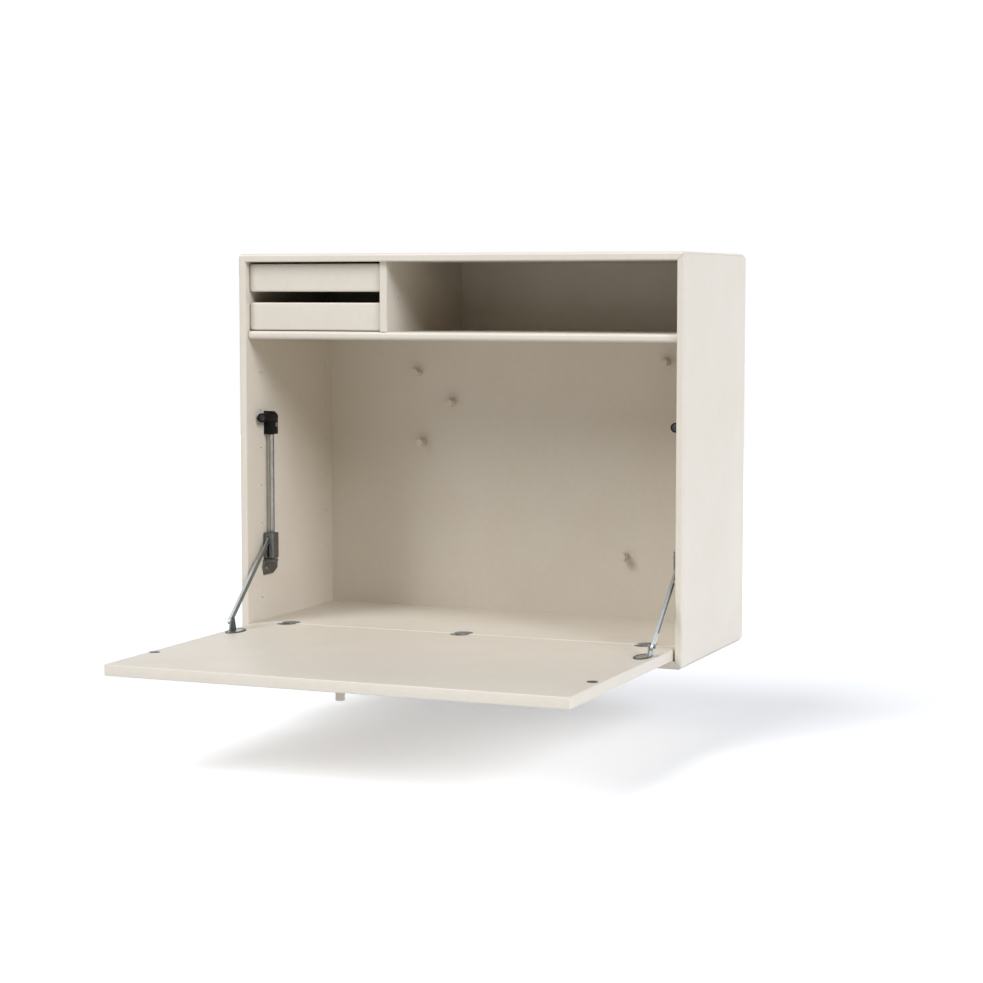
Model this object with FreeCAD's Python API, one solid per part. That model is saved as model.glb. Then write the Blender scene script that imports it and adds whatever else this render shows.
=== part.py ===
import FreeCAD, Part

import math
import os

# Wall-hung desk cabinet with a drop leaf, in millimetres.
#
# Frame: the origin is the centre of the back, on the wall. +X is to the right for somebody
# facing the cabinet, +Y goes into the wall and +Z is up. Most depths are written as a
# setback, the distance behind the cabinet's front plane; y_at() turns it into a Y value, and
# a negative setback is in front of the cabinet. Heights are counted from the underside, and
# z_at() turns them into Z values. An inset is counted from the inner face of a side panel.
# The cabinet is drawn with its leaf open.

# ---------------------------------------------------------------- driving dimensions

# Carcass
WIDTH = 696.0
HEIGHT = 582.0
DEPTH = 296.0
PANEL = 12.0
CORNER_CHAMFER = 5.6
OUTER_EDGE_ROUND = 4.0
INNER_EDGE_ROUND = 2.0
BACK_THICKNESS = 9.2
BACK_REBATE = 6.0

# Rows of pin holes in the sides
HOLE_PITCH = 57.0
HOLE_ROWS = 9
HOLE_DIAMETER = 3.0
HOLE_DEPTH = 8.0
HOLE_FLATS = 8
FRONT_ROW = 44.7
REAR_ROW_FROM_BACK = 32.4

# Shelf, divider and inner floor
ROWS_ABOVE_SHELF = 2
SHELF_THICKNESS = 12.0
SHELF_SETBACK = 6.0
SHELF_EDGE_ROUND = 4.0
SHELF_CORNER_ROUND = 3.0
TRAY_BAY_WIDTH = 216.0
DIVIDER_THICKNESS = 12.0
DIVIDER_SETBACK = 7.0
DIVIDER_EDGE_ROUND = 2.5
DIVIDER_HOLE_DEPTH = 4.0
FLOOR_THICKNESS = 16.0
FLOOR_SETBACK = 31.6
FLOOR_EDGE_ROUND = 0.8

# Pins inside the joints
PIN_CLEARANCE = 0.05
SHELF_PIN_GRIP = 10.0
PIN_END_GAP = 0.3

# Wall fixings
FIXING_FROM_SIDE = 68.0
FIXING_BELOW_TOP = 34.0
FIXING_HOLE_DIAMETER = 5.5
FIXING_PLATE_LENGTH = 60.0
FIXING_PLATE_HEIGHT = 30.0
FIXING_PLATE_THICKNESS = 2.0

# Pegs on the back panel: share of the bay's width from the left, share of its height
PEG_SHARES = [(0.2277, 0.8668), (0.3155, 0.7582), (0.2396, 0.6098), (0.8408, 0.9159), (0.7448, 0.2196)]
PEG_DIAMETER = 12.5
PEG_LENGTH = 19.0

# Drop leaf
LEAF_SIDE_GAP = 2.4
LEAF_REST_GAP = 0.3
LEAF_JOINT_GAP = 1.2
LEAF_SWING_GAP = 0.3
LEAF_HEEL_GAP = 1.3
LEAF_END_GAP = 1.0
LEAF_SETBACK = 11.8
LEAF_EDGE_ROUND = 2.0
KNOB_LENGTH = 17.0
KNOB_FROM_EDGE = 38.3

# Mortised leaf hinges
HINGE_FROM_SIDE = 64.5
HINGE_RADIUS = 14.0
HINGE_CENTRE_FROM_JOINT = 8.1
HINGE_DEPTH = 11.5
HINGE_SEAT_GAP = 0.1
KNUCKLE_WIDTH = 8.0
KNUCKLE_RADIUS = 4.6
KNUCKLE_GAP = 0.4
HINGE_PIN_DIAMETER = 3.4

# Strike discs on the leaf
STRIKE_DIAMETER = 15.0
STRIKE_THICKNESS = 3.6
STRIKE_PROUD = 0.6
STRIKE_INSET_LEFT = 11.0
STRIKE_INSET_RIGHT = 15.5
STRIKE_SEAT_GAP = 0.1

# Stay head with its magnetic catch
CATCH_HEIGHT = 337.0
CATCH_GAP = 0.3
CATCH_INSET = 10.0
CATCH_RADIUS = 7.0
CATCH_REACH = 40.5
MAGNET_DIAMETER = 10.0
MAGNET_LENGTH = 4.0
MAGNET_SINK = 0.3
HEAD_SETBACK = 54.5
HEAD_DEPTH = 17.5
HEAD_WIDTH = 15.0
HEAD_BELOW_CATCH = 26.0
HEAD_ABOVE_CATCH = 9.0
HEAD_SHOULDER_ROUND = 14.0

# Stay rod
ROD_DIAMETER = 8.0
ROD_INSET = 9.5
ROD_SETBACK = 61.0
ROD_IN_HEAD = 15.0

# Stay foot
FOOT_PLATE_THICKNESS = 3.0
FOOT_PLATE_FRONT = 46.0
FOOT_PLATE_BULGE = 3.5
FOOT_PLATE_LENGTH = 44.2
FOOT_TOP = 120.3
FOOT_HEIGHT = 23.5
FOOT_CUT_LENGTH = 13.7
FOOT_CUT_HEIGHT = 7.0
FOOT_CORNER_ROUND = 2.0
LUG_THICKNESS = 3.8
LUG_WIDTH = 17.0
LUG_DEPTH = 18.0

# Stay slider
SLIDER_WALL_GAP = 0.8
SLIDER_WIDTH = 17.5
SLIDER_SETBACK = 48.6
SLIDER_DEPTH = 20.4
SLIDER_LENGTH = 41.4
SLIDER_REST_GAP = 0.3
SLIDER_EDGE_ROUND = 2.5
SLIDER_BORE_CLEARANCE = 0.05
SLOT_WIDTH = 3.2
SLOT_DEPTH = 7.9

# Stay arm, between the pivot on the leaf and the pivot on the slider
ARM_INSET = 8.9
TONGUE_THICKNESS = 2.5
TONGUE_WIDTH = 7.0
TONGUE_LENGTH = 45.0
CHANNEL_WIDTH = 8.0
CHANNEL_DEPTH = 4.0
CHANNEL_WALL = 1.2
ARM_TAIL_LENGTH = 24.0
SLIDER_PIVOT_SETBACK = 51.5
SLIDER_PIVOT_HEIGHT = 31.4

# Bracket on the leaf that carries the arm
LEAF_PIVOT_REACH = 70.5
LEAF_PIVOT_RISE = 14.5
BRACKET_PLATE_INSET = 20.4
BRACKET_PLATE_REACH = 77.0
BRACKET_PLATE_WIDTH = 23.4
BRACKET_PLATE_LENGTH = 47.4
BRACKET_PLATE_THICKNESS = 1.5
BLADE_THICKNESS = 2.5
BLADE_GAP = 0.35
BLADE_FOOT_WIDTH = 19.0
BLADE_HEAD_RADIUS = 4.6
BLADE_CORNER_ROUND = 4.1
ARM_PIN_DIAMETER = 4.0
ARM_PIN_HEAD_DIAMETER = 6.4
ARM_PIN_HEAD_LENGTH = 1.0
ARM_PIN_CLEARANCE = 0.05

# Trays and their runners
TRAY_SIDE_GAP = 2.0
TRAY_BOTTOM_GAP = 1.2
TRAY_FRONT_HEIGHT = 41.0
TRAY_FRONT_THICKNESS = 14.0
TRAY_FRONT_CORNER = 4.0
TRAY_FRONT_ROUND = 3.0
TRAY_SETBACK = 12.0
TRAY_REAR_GAP = 12.8
TRAY_WALL = 9.0
TRAY_BASE = 4.0
TRAY_BOX_HEIGHT = 34.0
TRAY_BOX_RAISE = 2.0
GROOVE_HEIGHT = 5.4
GROOVE_DEPTH = 3.0
GROOVE_RAISE = 16.0
GROOVE_START = 10.0
RUNNER_HEIGHT = 5.0
RUNNER_GRIP = 2.5
RUNNER_REAR_GAP = 28.5
RUNNER_LEAD = 1.5
RUNNER_STOP_GAP = 0.3
RUNNER_SEAT_GAP = 0.15

# ---------------------------------------------------------------- derived places

HALF_WIDTH = WIDTH / 2.0
HALF_HEIGHT = HEIGHT / 2.0
INNER_HALF = HALF_WIDTH - PANEL
BACK_FACE_SETBACK = DEPTH - BACK_THICKNESS
REAR_ROW = DEPTH - REAR_ROW_FROM_BACK
FIXING_SPACING = WIDTH - 2.0 * FIXING_FROM_SIDE
FIXING_HEIGHT = HEIGHT - FIXING_BELOW_TOP

SHELF_CENTRE = HEIGHT - PANEL / 2.0 - ROWS_ABOVE_SHELF * HOLE_PITCH
SHELF_UNDERSIDE = SHELF_CENTRE - SHELF_THICKNESS / 2.0
SHELF_TOP = SHELF_CENTRE + SHELF_THICKNESS / 2.0
CEILING = HEIGHT - PANEL
DIVIDER_LEFT = -INNER_HALF + TRAY_BAY_WIDTH
DIVIDER_RIGHT = DIVIDER_LEFT + DIVIDER_THICKNESS
DESK_LEVEL = PANEL + FLOOR_THICKNESS

# The leaf turns about one axis inside its own thickness. Open, it lies flush with the inner
# floor; closed, its heel stands just above the bottom panel and its face sits LEAF_SETBACK
# behind the cabinet's front plane. A point on the leaf at setback s when it is open is at
# height TURN_SUM - s when it is closed.
LEAF_THICKNESS = FLOOR_THICKNESS - LEAF_REST_GAP
LEAF_UNDERSIDE = PANEL + LEAF_REST_GAP
LEAF_REAR = FLOOR_SETBACK - LEAF_JOINT_GAP
LEAF_INNER_FACE_CLOSED = LEAF_SETBACK + LEAF_THICKNESS
TURN_SUM = LEAF_REAR + PANEL + LEAF_HEEL_GAP
AXIS_SETBACK = (LEAF_INNER_FACE_CLOSED - DESK_LEVEL + TURN_SUM) / 2.0
AXIS_HEIGHT = TURN_SUM - AXIS_SETBACK
LEAF_FRONT = TURN_SUM - (SHELF_UNDERSIDE - LEAF_END_GAP)
LEAF_HALF = INNER_HALF - LEAF_SIDE_GAP
JOINT_LINE = FLOOR_SETBACK - LEAF_JOINT_GAP / 2.0

HEAD_BOTTOM = CATCH_HEIGHT - HEAD_BELOW_CATCH
CATCH_SETBACK = LEAF_INNER_FACE_CLOSED + STRIKE_PROUD + CATCH_GAP
STRIKE_SETBACK = TURN_SUM - CATCH_HEIGHT

SLIDER_BOTTOM = FOOT_TOP + SLIDER_REST_GAP
LEAF_PIVOT = (-LEAF_PIVOT_REACH, DESK_LEVEL + LEAF_PIVOT_RISE)
SLIDER_PIVOT = (SLIDER_PIVOT_SETBACK, SLIDER_BOTTOM + SLIDER_PIVOT_HEIGHT)
ARM_LENGTH = math.hypot(SLIDER_PIVOT[0] - LEAF_PIVOT[0], SLIDER_PIVOT[1] - LEAF_PIVOT[1])
ARM_LEAN = math.atan2(SLIDER_PIVOT[0] - LEAF_PIVOT[0], SLIDER_PIVOT[1] - LEAF_PIVOT[1])
BLADE_INSET = ARM_INSET + TONGUE_THICKNESS / 2.0 + BLADE_GAP

HINGE_CENTRES = [-(HALF_WIDTH - HINGE_FROM_SIDE), 0.0, HALF_WIDTH - HINGE_FROM_SIDE]
STRIKE_PLACES = [(STRIKE_INSET_LEFT, False), (STRIKE_INSET_RIGHT, True)]
SIDES = {"left": False, "right": True}


def y_at(setback):
    """Y of a point this far behind the front plane."""
    return setback - DEPTH


def z_at(height):
    """Z of a point this far above the underside."""
    return height - HALF_HEIGHT


def x_at(inset):
    """X of a point this far inside the left side panel's inner face."""
    return inset - INNER_HALF


# ---------------------------------------------------------------- shared shapes

def block(x0, x1, y0, y1, z0, z1):
    """A box between two corners."""
    return Part.makeBox(x1 - x0, y1 - y0, z1 - z0, FreeCAD.Vector(x0, y0, z0))


def rod(radius, start, end):
    """A cylinder from one point to another."""
    path = end.sub(start)
    return Part.makeCylinder(radius, path.Length, start, path)


def flat_sided_bar(radius, start, length):
    """A bar along X whose HOLE_FLATS flats lie at this radius."""
    reach = radius / math.cos(math.pi / HOLE_FLATS)
    corners = []
    for step in range(HOLE_FLATS):
        angle = 2.0 * math.pi * (step + 0.5) / HOLE_FLATS
        corners.append((start.y + reach * math.cos(angle), start.z + reach * math.sin(angle), 0.0))
    return prism("YZ", corners, start.x, start.x + length)


def to_space(plane, u, v, depth):
    """A point of a drawing plane, at a depth along the plane's normal."""
    if plane == "YZ":
        return FreeCAD.Vector(depth, u, v)
    if plane == "XZ":
        return FreeCAD.Vector(u, depth, v)
    return FreeCAD.Vector(u, v, depth)


def rounded_outline(plane, corners, depth):
    """A closed wire through corners (u, v, radius), each rounded by its radius."""
    edges = []
    ends = []
    count = len(corners)
    for index in range(count):
        before = corners[index - 1]
        corner = corners[index]
        after = corners[(index + 1) % count]
        here = to_space(plane, corner[0], corner[1], depth)
        back = to_space(plane, before[0], before[1], depth).sub(here).normalize()
        ahead = to_space(plane, after[0], after[1], depth).sub(here).normalize()
        radius = corner[2]
        if radius <= 0.0:
            ends.append((here, here))
            continue
        half_angle = back.getAngle(ahead) / 2.0
        reach = radius / math.tan(half_angle)
        enter = here + back * reach
        leave = here + ahead * reach
        inward = (back + ahead).normalize()
        middle = here + inward * (radius / math.sin(half_angle) - radius)
        edges.append(Part.Arc(enter, middle, leave).toShape())
        ends.append((enter, leave))
    for index in range(count):
        start = ends[index - 1][1]
        end = ends[index][0]
        if start.distanceToPoint(end) > 1e-6:
            edges.append(Part.makeLine(start, end))
    return Part.Wire(Part.__sortEdges__(edges))


def prism(plane, corners, start, end):
    """A rounded outline drawn in a plane and drawn out along its normal."""
    face = Part.Face(rounded_outline(plane, corners, start))
    return face.extrude(to_space(plane, 0.0, 0.0, end - start))


def on_side(shape, right):
    """The left-hand piece, or its mirror image for the right-hand side."""
    if right:
        return shape.mirror(FreeCAD.Vector(0, 0, 0), FreeCAD.Vector(1, 0, 0))
    return shape


def save(name, shape):
    """Write one piece, or one group of like pieces, to its own file."""
    shape.exportStep("parts/" + name + ".step")


# ---------------------------------------------------------------- carcass

def panel_section(outer, inner_step):
    """Outline (setback, height) of a carcass panel: rounded front edge, rear rebate."""
    inner = outer + inner_step * PANEL
    rebate = inner - inner_step * BACK_REBATE
    front = y_at(0.0)
    return [
        (front, outer, OUTER_EDGE_ROUND),
        (front, inner, INNER_EDGE_ROUND),
        (y_at(BACK_FACE_SETBACK), inner, 0.0),
        (y_at(BACK_FACE_SETBACK), rebate, 0.0),
        (0.0, rebate, 0.0),
        (0.0, outer, 0.0),
    ]


def mitre_wedge(half_length, half_across, plane):
    """Prism that mitres a panel's ends and takes half of each corner chamfer."""
    half_chamfer = CORNER_CHAMFER / 2.0
    corners = [
        (-half_length + CORNER_CHAMFER, -half_across, 0.0),
        (half_length - CORNER_CHAMFER, -half_across, 0.0),
        (half_length - half_chamfer, -half_across + half_chamfer, 0.0),
        (half_length - PANEL, -half_across + PANEL, 0.0),
        (-half_length + PANEL, -half_across + PANEL, 0.0),
        (-half_length + half_chamfer, -half_across + half_chamfer, 0.0),
    ]
    if plane == "side":
        corners = [(v, u, r) for u, v, r in corners]
    return prism("XZ", corners, y_at(0.0), 0.0)


def bottom_panel():
    """Lower carcass panel, mitred into the sides."""
    blank = prism("YZ", panel_section(-HALF_HEIGHT, 1.0), -HALF_WIDTH, HALF_WIDTH)
    return blank.common(mitre_wedge(HALF_WIDTH, HALF_HEIGHT, "flat"))


def top_panel():
    """Upper carcass panel, the mirror image of the lower one."""
    return bottom_panel().mirror(FreeCAD.Vector(0, 0, 0), FreeCAD.Vector(0, 0, 1))


def pin_holes(face_x, depth, rows):
    """Blind pin holes of the front and rear rows; a negative depth runs towards -X."""
    bores = []
    for row in rows:
        height = HEIGHT - PANEL / 2.0 - row * HOLE_PITCH
        for setback in (FRONT_ROW, REAR_ROW):
            mouth = FreeCAD.Vector(face_x, y_at(setback), z_at(height))
            bores.append(flat_sided_bar(HOLE_DIAMETER / 2.0, mouth, depth))
    return Part.Compound(bores)


def side_panel():
    """Left carcass panel with its two rows of pin holes."""
    section = [(v, u, r) for u, v, r in panel_section(-HALF_WIDTH, 1.0)]
    blank = prism("XY", section, -HALF_HEIGHT, HALF_HEIGHT)
    panel = blank.common(mitre_wedge(HALF_HEIGHT, HALF_WIDTH, "side"))
    return panel.cut(pin_holes(-INNER_HALF, -HOLE_DEPTH, range(1, HOLE_ROWS + 1)))


def back_panel():
    """Back, let into the rebates, with pockets for the fixing plates."""
    half_across = INNER_HALF + BACK_REBATE
    half_up = HALF_HEIGHT - PANEL + BACK_REBATE
    panel = block(-half_across, half_across, -BACK_THICKNESS, 0.0, -half_up, half_up)
    panel = panel.cut(fixing_plate_blanks(0.0))
    return panel.cut(fixing_holes())


# ---------------------------------------------------------------- wall fixings

def fixing_plate_blanks(inset):
    """The two fixing plates' outlines, at the back face, without their holes."""
    height = z_at(FIXING_HEIGHT)
    blanks = []
    for centre in (-FIXING_SPACING / 2.0, FIXING_SPACING / 2.0):
        half_length = FIXING_PLATE_LENGTH / 2.0 - inset
        half_height = FIXING_PLATE_HEIGHT / 2.0 - inset
        blanks.append(block(centre - half_length, centre + half_length, -FIXING_PLATE_THICKNESS, 0.0,
                            height - half_height, height + half_height))
    return Part.Compound(blanks)


def fixing_holes():
    """Screw holes through the back panel and the fixing plates."""
    holes = []
    for centre in (-FIXING_SPACING / 2.0, FIXING_SPACING / 2.0):
        front = FreeCAD.Vector(centre, -BACK_THICKNESS, z_at(FIXING_HEIGHT))
        rear = FreeCAD.Vector(centre, 0.0, z_at(FIXING_HEIGHT))
        holes.append(rod(FIXING_HOLE_DIAMETER / 2.0, front, rear))
    return Part.Compound(holes)


def fixing_plates():
    """Two steel plates, flush with the back, that spread the wall screws' pull."""
    return fixing_plate_blanks(PIN_CLEARANCE).cut(fixing_holes())


# ---------------------------------------------------------------- shelf, divider, floor

def shelf_pin_mouths():
    """Mouths of the two pin holes in the left side that carry the shelf."""
    return [FreeCAD.Vector(-INNER_HALF, y_at(s), z_at(SHELF_CENTRE)) for s in (FRONT_ROW, REAR_ROW)]


def shelf_pins():
    """Steel pins between both sides and the shelf's ends."""
    pins = []
    for mouth in shelf_pin_mouths():
        start = mouth - FreeCAD.Vector(HOLE_DEPTH - PIN_END_GAP, 0, 0)
        length = HOLE_DEPTH - PIN_END_GAP + SHELF_PIN_GRIP
        pin = flat_sided_bar(HOLE_DIAMETER / 2.0 - PIN_CLEARANCE, start, length)
        pins.append(pin)
        pins.append(on_side(pin, True))
    return Part.Compound(pins)


def shelf():
    """Full-width shelf with a round front edge."""
    front = y_at(SHELF_SETBACK)
    rear = y_at(BACK_FACE_SETBACK)
    section = [
        (front, z_at(SHELF_UNDERSIDE), SHELF_EDGE_ROUND),
        (front, z_at(SHELF_TOP), SHELF_EDGE_ROUND),
        (rear, z_at(SHELF_TOP), 0.0),
        (rear, z_at(SHELF_UNDERSIDE), 0.0),
    ]
    plan = [
        (-INNER_HALF, front, SHELF_CORNER_ROUND),
        (INNER_HALF, front, SHELF_CORNER_ROUND),
        (INNER_HALF, rear, 0.0),
        (-INNER_HALF, rear, 0.0),
    ]
    board = prism("YZ", section, -INNER_HALF, INNER_HALF)
    board = board.common(prism("XY", plan, z_at(SHELF_UNDERSIDE), z_at(SHELF_TOP)))
    for mouth in shelf_pin_mouths():
        bore = flat_sided_bar(HOLE_DIAMETER / 2.0, mouth, SHELF_PIN_GRIP + PIN_END_GAP)
        board = board.cut(bore).cut(on_side(bore, True))
    return board


def divider():
    """Upright between the tray bay and the open bay."""
    front = y_at(DIVIDER_SETBACK)
    rear = y_at(BACK_FACE_SETBACK)
    plan = [
        (DIVIDER_LEFT, front, DIVIDER_EDGE_ROUND),
        (DIVIDER_RIGHT, front, DIVIDER_EDGE_ROUND),
        (DIVIDER_RIGHT, rear, 0.0),
        (DIVIDER_LEFT, rear, 0.0),
    ]
    board = prism("XY", plan, z_at(SHELF_TOP), z_at(CEILING))
    board = board.cut(pin_holes(DIVIDER_LEFT, DIVIDER_HOLE_DEPTH, [1]))
    return board.cut(pin_holes(DIVIDER_RIGHT, -DIVIDER_HOLE_DEPTH, [1]))


def inner_floor():
    """Raised floor behind the leaf, level with the open leaf."""
    front = y_at(FLOOR_SETBACK)
    rear = y_at(BACK_FACE_SETBACK)
    section = [
        (front, z_at(PANEL), 0.0),
        (front, z_at(DESK_LEVEL), FLOOR_EDGE_ROUND),
        (rear, z_at(DESK_LEVEL), 0.0),
        (rear, z_at(PANEL), 0.0),
    ]
    board = prism("YZ", section, -INNER_HALF, INNER_HALF)
    for centre in HINGE_CENTRES:
        board = board.cut(hinge_disc(centre, 1.0, HINGE_SEAT_GAP))
    return board


# ---------------------------------------------------------------- pegs

def peg(base, outward, length):
    """Round peg, screwed on from behind; it stands out by length."""
    return rod(PEG_DIAMETER / 2.0, base, base + outward * length)


def peg_base(shares):
    """Point where a peg leaves the back panel."""
    return FreeCAD.Vector(x_at(shares[0] * 2.0 * INNER_HALF), y_at(BACK_FACE_SETBACK),
                          z_at(DESK_LEVEL + shares[1] * (SHELF_UNDERSIDE - DESK_LEVEL)))


def pegs():
    """The pegs on the back panel."""
    outward = FreeCAD.Vector(0, -1, 0)
    return Part.Compound([peg(peg_base(shares), outward, PEG_LENGTH) for shares in PEG_SHARES])


# ---------------------------------------------------------------- leaf and its hinges

def leaf_section():
    """Outline of the leaf: its heel is round, so that it turns inside the carcass."""
    rear_reach = LEAF_REAR - AXIS_SETBACK
    top_reach = DESK_LEVEL - AXIS_HEIGHT
    swing = FLOOR_SETBACK - AXIS_SETBACK - LEAF_SWING_GAP
    # Largest rear top corner that stays within the swing radius about the axis.
    spare = 2.0 * (swing - rear_reach) * (swing - top_reach)
    top_round = max(rear_reach + top_reach - swing - math.sqrt(spare), LEAF_EDGE_ROUND)
    return [
        (y_at(LEAF_FRONT), z_at(LEAF_UNDERSIDE), LEAF_EDGE_ROUND),
        (y_at(LEAF_FRONT), z_at(DESK_LEVEL), LEAF_EDGE_ROUND),
        (y_at(LEAF_REAR), z_at(DESK_LEVEL), top_round),
        (y_at(LEAF_REAR), z_at(LEAF_UNDERSIDE), rear_reach),
    ]


def hinge_disc(centre, side, clearance):
    """Round bore or body of one hinge half: side -1 in the leaf, +1 in the floor."""
    middle = FreeCAD.Vector(centre, y_at(JOINT_LINE + side * HINGE_CENTRE_FROM_JOINT),
                            z_at(DESK_LEVEL - HINGE_DEPTH - clearance))
    top = FreeCAD.Vector(middle.x, middle.y, z_at(DESK_LEVEL))
    return rod(HINGE_RADIUS + clearance, middle, top)


def knuckle_slot(centre):
    """Space in the leaf's hinge half that the floor half's knuckle turns in."""
    half = KNUCKLE_WIDTH / 2.0 + KNUCKLE_GAP
    reach = KNUCKLE_RADIUS + KNUCKLE_GAP
    return block(centre - half, centre + half, y_at(AXIS_SETBACK - reach), y_at(FLOOR_SETBACK),
                 z_at(AXIS_HEIGHT - reach), z_at(DESK_LEVEL))


def axis_pin(centre, radius):
    """A pin on the leaf's turning axis, across a hinge's knuckle slot."""
    half = KNUCKLE_WIDTH / 2.0 + KNUCKLE_GAP
    start = FreeCAD.Vector(centre - half, y_at(AXIS_SETBACK), z_at(AXIS_HEIGHT))
    return rod(radius, start, start + FreeCAD.Vector(2.0 * half, 0, 0))


def leaf_panel():
    """The drop leaf, bored for its hinges and strikes."""
    panel = prism("YZ", leaf_section(), -LEAF_HALF, LEAF_HALF)
    for centre in HINGE_CENTRES:
        panel = panel.cut(hinge_disc(centre, -1.0, HINGE_SEAT_GAP))
    for inset, right in STRIKE_PLACES:
        panel = panel.cut(strike_disc(inset, right, STRIKE_SEAT_GAP, 0.0))
    return panel


def hinge_leaf_half(centre):
    """Hinge half in the leaf: a disc cut off along the joint, slotted, with the pin across."""
    disc = hinge_disc(centre, -1.0, 0.0)
    disc = disc.common(prism("YZ", leaf_section(), -HALF_WIDTH, HALF_WIDTH))
    disc = disc.cut(knuckle_slot(centre))
    return disc.fuse(axis_pin(centre, HINGE_PIN_DIAMETER / 2.0)).removeSplitter()


def hinge_floor_half(centre):
    """Hinge half in the floor, with the knuckle that reaches the axis inside the leaf."""
    disc = hinge_disc(centre, 1.0, 0.0)
    disc = disc.common(block(-HALF_WIDTH, HALF_WIDTH, y_at(FLOOR_SETBACK), 0.0,
                             z_at(PANEL), z_at(DESK_LEVEL)))
    half = KNUCKLE_WIDTH / 2.0
    centre_y = y_at(AXIS_SETBACK)
    centre_z = z_at(AXIS_HEIGHT)
    barrel = rod(KNUCKLE_RADIUS, FreeCAD.Vector(centre - half, centre_y, centre_z),
                 FreeCAD.Vector(centre + half, centre_y, centre_z))
    neck = block(centre - half, centre + half, centre_y, y_at(FLOOR_SETBACK + KNUCKLE_RADIUS),
                 centre_z - KNUCKLE_RADIUS, centre_z + KNUCKLE_RADIUS)
    half_hinge = disc.fuse(barrel).fuse(neck).removeSplitter()
    return half_hinge.cut(axis_pin(centre, HINGE_PIN_DIAMETER / 2.0 + PIN_CLEARANCE))


def knob_base():
    """Point on the leaf's outer face where the knob, a peg like the others, stands."""
    return FreeCAD.Vector(0, y_at(LEAF_FRONT + KNOB_FROM_EDGE), z_at(LEAF_UNDERSIDE))


def strike_disc(inset, right, clearance, proud):
    """Round strike, or with a clearance its pocket; it stands out of the leaf by proud."""
    sink = STRIKE_THICKNESS - STRIKE_PROUD + clearance
    low = FreeCAD.Vector(x_at(inset), y_at(STRIKE_SETBACK), z_at(DESK_LEVEL - sink))
    high = FreeCAD.Vector(low.x, low.y, z_at(DESK_LEVEL + proud))
    return on_side(rod(STRIKE_DIAMETER / 2.0 + clearance, low, high), right)


def strikes():
    """The two steel discs that the catch magnets hold."""
    return Part.Compound([strike_disc(inset, right, 0.0, STRIKE_PROUD) for inset, right in STRIKE_PLACES])


# ---------------------------------------------------------------- stay: head, rod, foot

def stay_head():
    """Moulded head on the side panel: socket for the rod, and a tube for the magnet."""
    front = y_at(HEAD_SETBACK)
    rear = y_at(HEAD_SETBACK + HEAD_DEPTH)
    top = z_at(CATCH_HEIGHT + HEAD_ABOVE_CATCH)
    bottom = z_at(HEAD_BOTTOM)
    profile = [
        (front, bottom, 0.0),
        (rear, bottom, 0.0),
        (rear, top, HEAD_SHOULDER_ROUND),
        (front, top, 0.0),
    ]
    body = prism("YZ", profile, x_at(0.0), x_at(HEAD_WIDTH))
    tube_start = FreeCAD.Vector(x_at(CATCH_INSET), y_at(CATCH_SETBACK), z_at(CATCH_HEIGHT))
    tube_end = tube_start + FreeCAD.Vector(0, CATCH_REACH, 0)
    body = body.fuse(rod(CATCH_RADIUS, tube_start, tube_end)).removeSplitter()
    body = body.cut(magnet(0.0, PIN_CLEARANCE))
    return body.cut(stay_rod(PIN_CLEARANCE))


def magnet(sink, clearance):
    """Round magnet, set back in the head's tube by sink; with a clearance, its pocket."""
    start = FreeCAD.Vector(x_at(CATCH_INSET), y_at(CATCH_SETBACK + sink), z_at(CATCH_HEIGHT))
    end = FreeCAD.Vector(start.x, y_at(CATCH_SETBACK + MAGNET_SINK + MAGNET_LENGTH), start.z)
    return rod(MAGNET_DIAMETER / 2.0 + clearance, start, end)


def stay_rod(clearance):
    """Upright steel rod from the foot's lug into the head."""
    low = FreeCAD.Vector(x_at(ROD_INSET), y_at(ROD_SETBACK), z_at(FOOT_TOP - LUG_THICKNESS))
    high = FreeCAD.Vector(low.x, low.y, z_at(HEAD_BOTTOM + ROD_IN_HEAD))
    return rod(ROD_DIAMETER / 2.0 + clearance, low, high)


def stay_foot():
    """Foot bracket: a plate on the side panel, and a lug that carries the rod."""
    front = y_at(FOOT_PLATE_FRONT)
    rear = front + FOOT_PLATE_LENGTH
    top = z_at(FOOT_TOP)
    bottom = z_at(FOOT_TOP - FOOT_HEIGHT)
    outline = [
        (front, top, FOOT_CORNER_ROUND),
        (front - FOOT_PLATE_BULGE, (top + bottom) / 2.0, 0.0),
        (front, bottom, FOOT_CORNER_ROUND),
        (rear - FOOT_CUT_LENGTH, bottom, 0.0),
        (rear, bottom + FOOT_CUT_HEIGHT, 0.0),
        (rear, top, FOOT_CORNER_ROUND),
    ]
    plate = prism("YZ", outline, x_at(0.0), x_at(FOOT_PLATE_THICKNESS))
    lug_front = y_at(ROD_SETBACK - LUG_DEPTH / 2.0)
    lug_rear = y_at(ROD_SETBACK + LUG_DEPTH / 2.0)
    lug_plan = [
        (x_at(0.0), lug_front, 0.0),
        (x_at(LUG_WIDTH), lug_front, FOOT_CORNER_ROUND),
        (x_at(LUG_WIDTH), lug_rear, FOOT_CORNER_ROUND),
        (x_at(0.0), lug_rear, 0.0),
    ]
    lug = prism("XY", lug_plan, z_at(FOOT_TOP - LUG_THICKNESS), top)
    return plate.fuse(lug).removeSplitter().cut(stay_rod(PIN_CLEARANCE))


# ---------------------------------------------------------------- stay: slider, arm, bracket

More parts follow.
